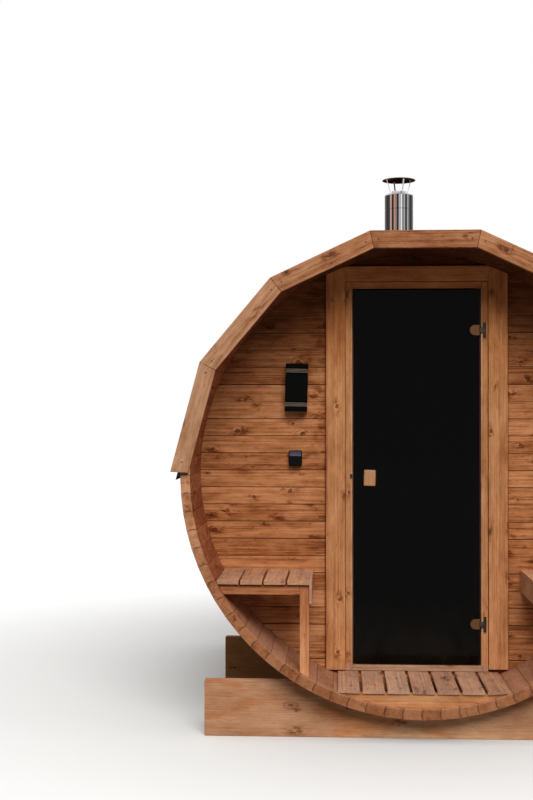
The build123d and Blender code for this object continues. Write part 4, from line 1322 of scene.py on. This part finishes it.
for name, meshes, finish, replaced, body in (
        ("hinge_clamps", swinging, clamp_bronze, ["hinge_door_parts"], "door"),
        ("hinge_arms", arms, hinge_steel, (), "door"),
        ("hinge_leaves", fixed, hinge_steel, ["hinge_frame_parts"], "sauna")):
    show(name, joined(name, *meshes), finish, "hinge_metal", replaced, body)
places = [((glass_half - 25 * mm, glass_front - 8.3 * mm, height), to_front) for height in hinge_heights]
drive_screws("clamp_screws", places, 3.6 * mm, "hinge_metal", "door")

low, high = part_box("door_catch")
catch = Boards(85, 1.5)
catch.box((low.x, high.x), (low.z, high.z), (low.y + 4 * mm, high.y))
roller_low, roller_high, roller_radius = low.z + 3 * mm, high.z - 3 * mm, 4 * mm
roller = turned("roller", [(0, roller_low), (roller_radius, roller_low), (roller_radius, roller_high),
                           (0, roller_high)], ((low.x + high.x) / 2, low.y + 4.5 * mm), 20, closed=False)
show("roller_catch", joined("roller_catch", catch.finish("catch"), roller), hinge_steel, "hinge_metal",
     ["door_catch"])

# %% [markdown]
# ## Lamp and switch
# The lamp is a black box with a sunk front plate, and shines up and down through two ribbed bands. Seen
# closely it hangs a little crooked, so the finished mesh is tilted as the handle is. The switch has a
# rounded body under a sloping lid, and a band of the lid carries a painted reflection of the sky.

# %% Build the lamp
lamp_x, lamp_z, lamp_front, plate_inset = -582 * mm, 1619 * mm, wall_front - 70 * mm, 6
lamp_half, body_half, end_half, end_middle = 54, 71, 11.75, 104.25
rib_half, rib_pitch, first_rib = 1.9, 6.9, 3.9
body, bands = Boards(91, 2.5), Boards(92, 0.8)
for middle, half in ((0, body_half), (end_middle, end_half), (-end_middle, end_half)):
    z = lamp_z + middle * mm
    body.box(about(lamp_x, lamp_half), about(z, half), (lamp_front + 3 * mm, wall_front))
    body.box(about(lamp_x, lamp_half - plate_inset), about(z, half - plate_inset),
             (lamp_front, lamp_front + 5 * mm))
body.box(about(lamp_x, 46), about(lamp_z, 93), (lamp_front + 12 * mm, wall_front - fit))
for side in (-1, 1):
    for rib in range(3):
        z = lamp_z + side * (body_half + first_rib + rib_pitch * rib) * mm
        bands.box(about(lamp_x, 50), about(z, rib_half), (lamp_front + 6 * mm, wall_front - 0.2 * mm))
for name, boards, finish, slot, node in (
        ("lamp_body", body, black_plastic, "black_plastic", "wall_lamp"),
        ("lamp_light_bands", bands, lamp_lens, "lamp_diffuser", "lamp_bands")):
    show(name, tilted(boards.finish(name), lamp_x, lamp_z), finish, slot, [node])

# %% Build the switch
low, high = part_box("switch_box")
corner, outline = 5 * mm, []
for x, z, right, up in ((low.x, low.z, 1, 1), (low.x, high.z, 1, -1), (high.x, high.z, -1, -1),
                        (high.x, low.z, -1, 1)):
    cut = [Vector((x + right * corner, z)), Vector((x, z + up * corner))]
    outline += cut if right == up else cut[::-1]
switch, lid = Boards(93, 3.0), Boards(94, 2.5)
lid_top, lid_back, lid_foot = low.z + 73 * mm, high.y - 30 * mm, low.z + 6 * mm
switch.add(outline, (lid_back, high.y))
slope = [(low.y, lid_foot), (low.y, lid_top - 24 * mm), (low.y + 3 * mm, lid_top - 17 * mm),
         (lid_back, lid_top), (lid_back + 6 * mm, lid_top), (lid_back + 6 * mm, lid_foot)]
lid.add([Vector(point) for point in slope], (-high.x + 4 * mm, -low.x - 4 * mm))
lid = lid.finish("switch_lid")
lid.transform(Matrix.Rotation(pi / 2, 4, "Z"))
switch = joined("switch", switch.finish("switch_body"), lid)
switch.materials.append(switch_plastic)
switch.materials.append(lid_plastic)
# Painted reflection of the sky: a band of the sloping lid gets the pale bluish finish.
for polygon in switch.polygons:
    sloping = 0.25 < polygon.normal.z < 0.95 and polygon.center.y < lid_back
    polygon.material_index = int(sloping and lid_top - 22 * mm < polygon.center.z < lid_top - 3 * mm)
show("switch", switch, None, "black_plastic", ["switch_box"])
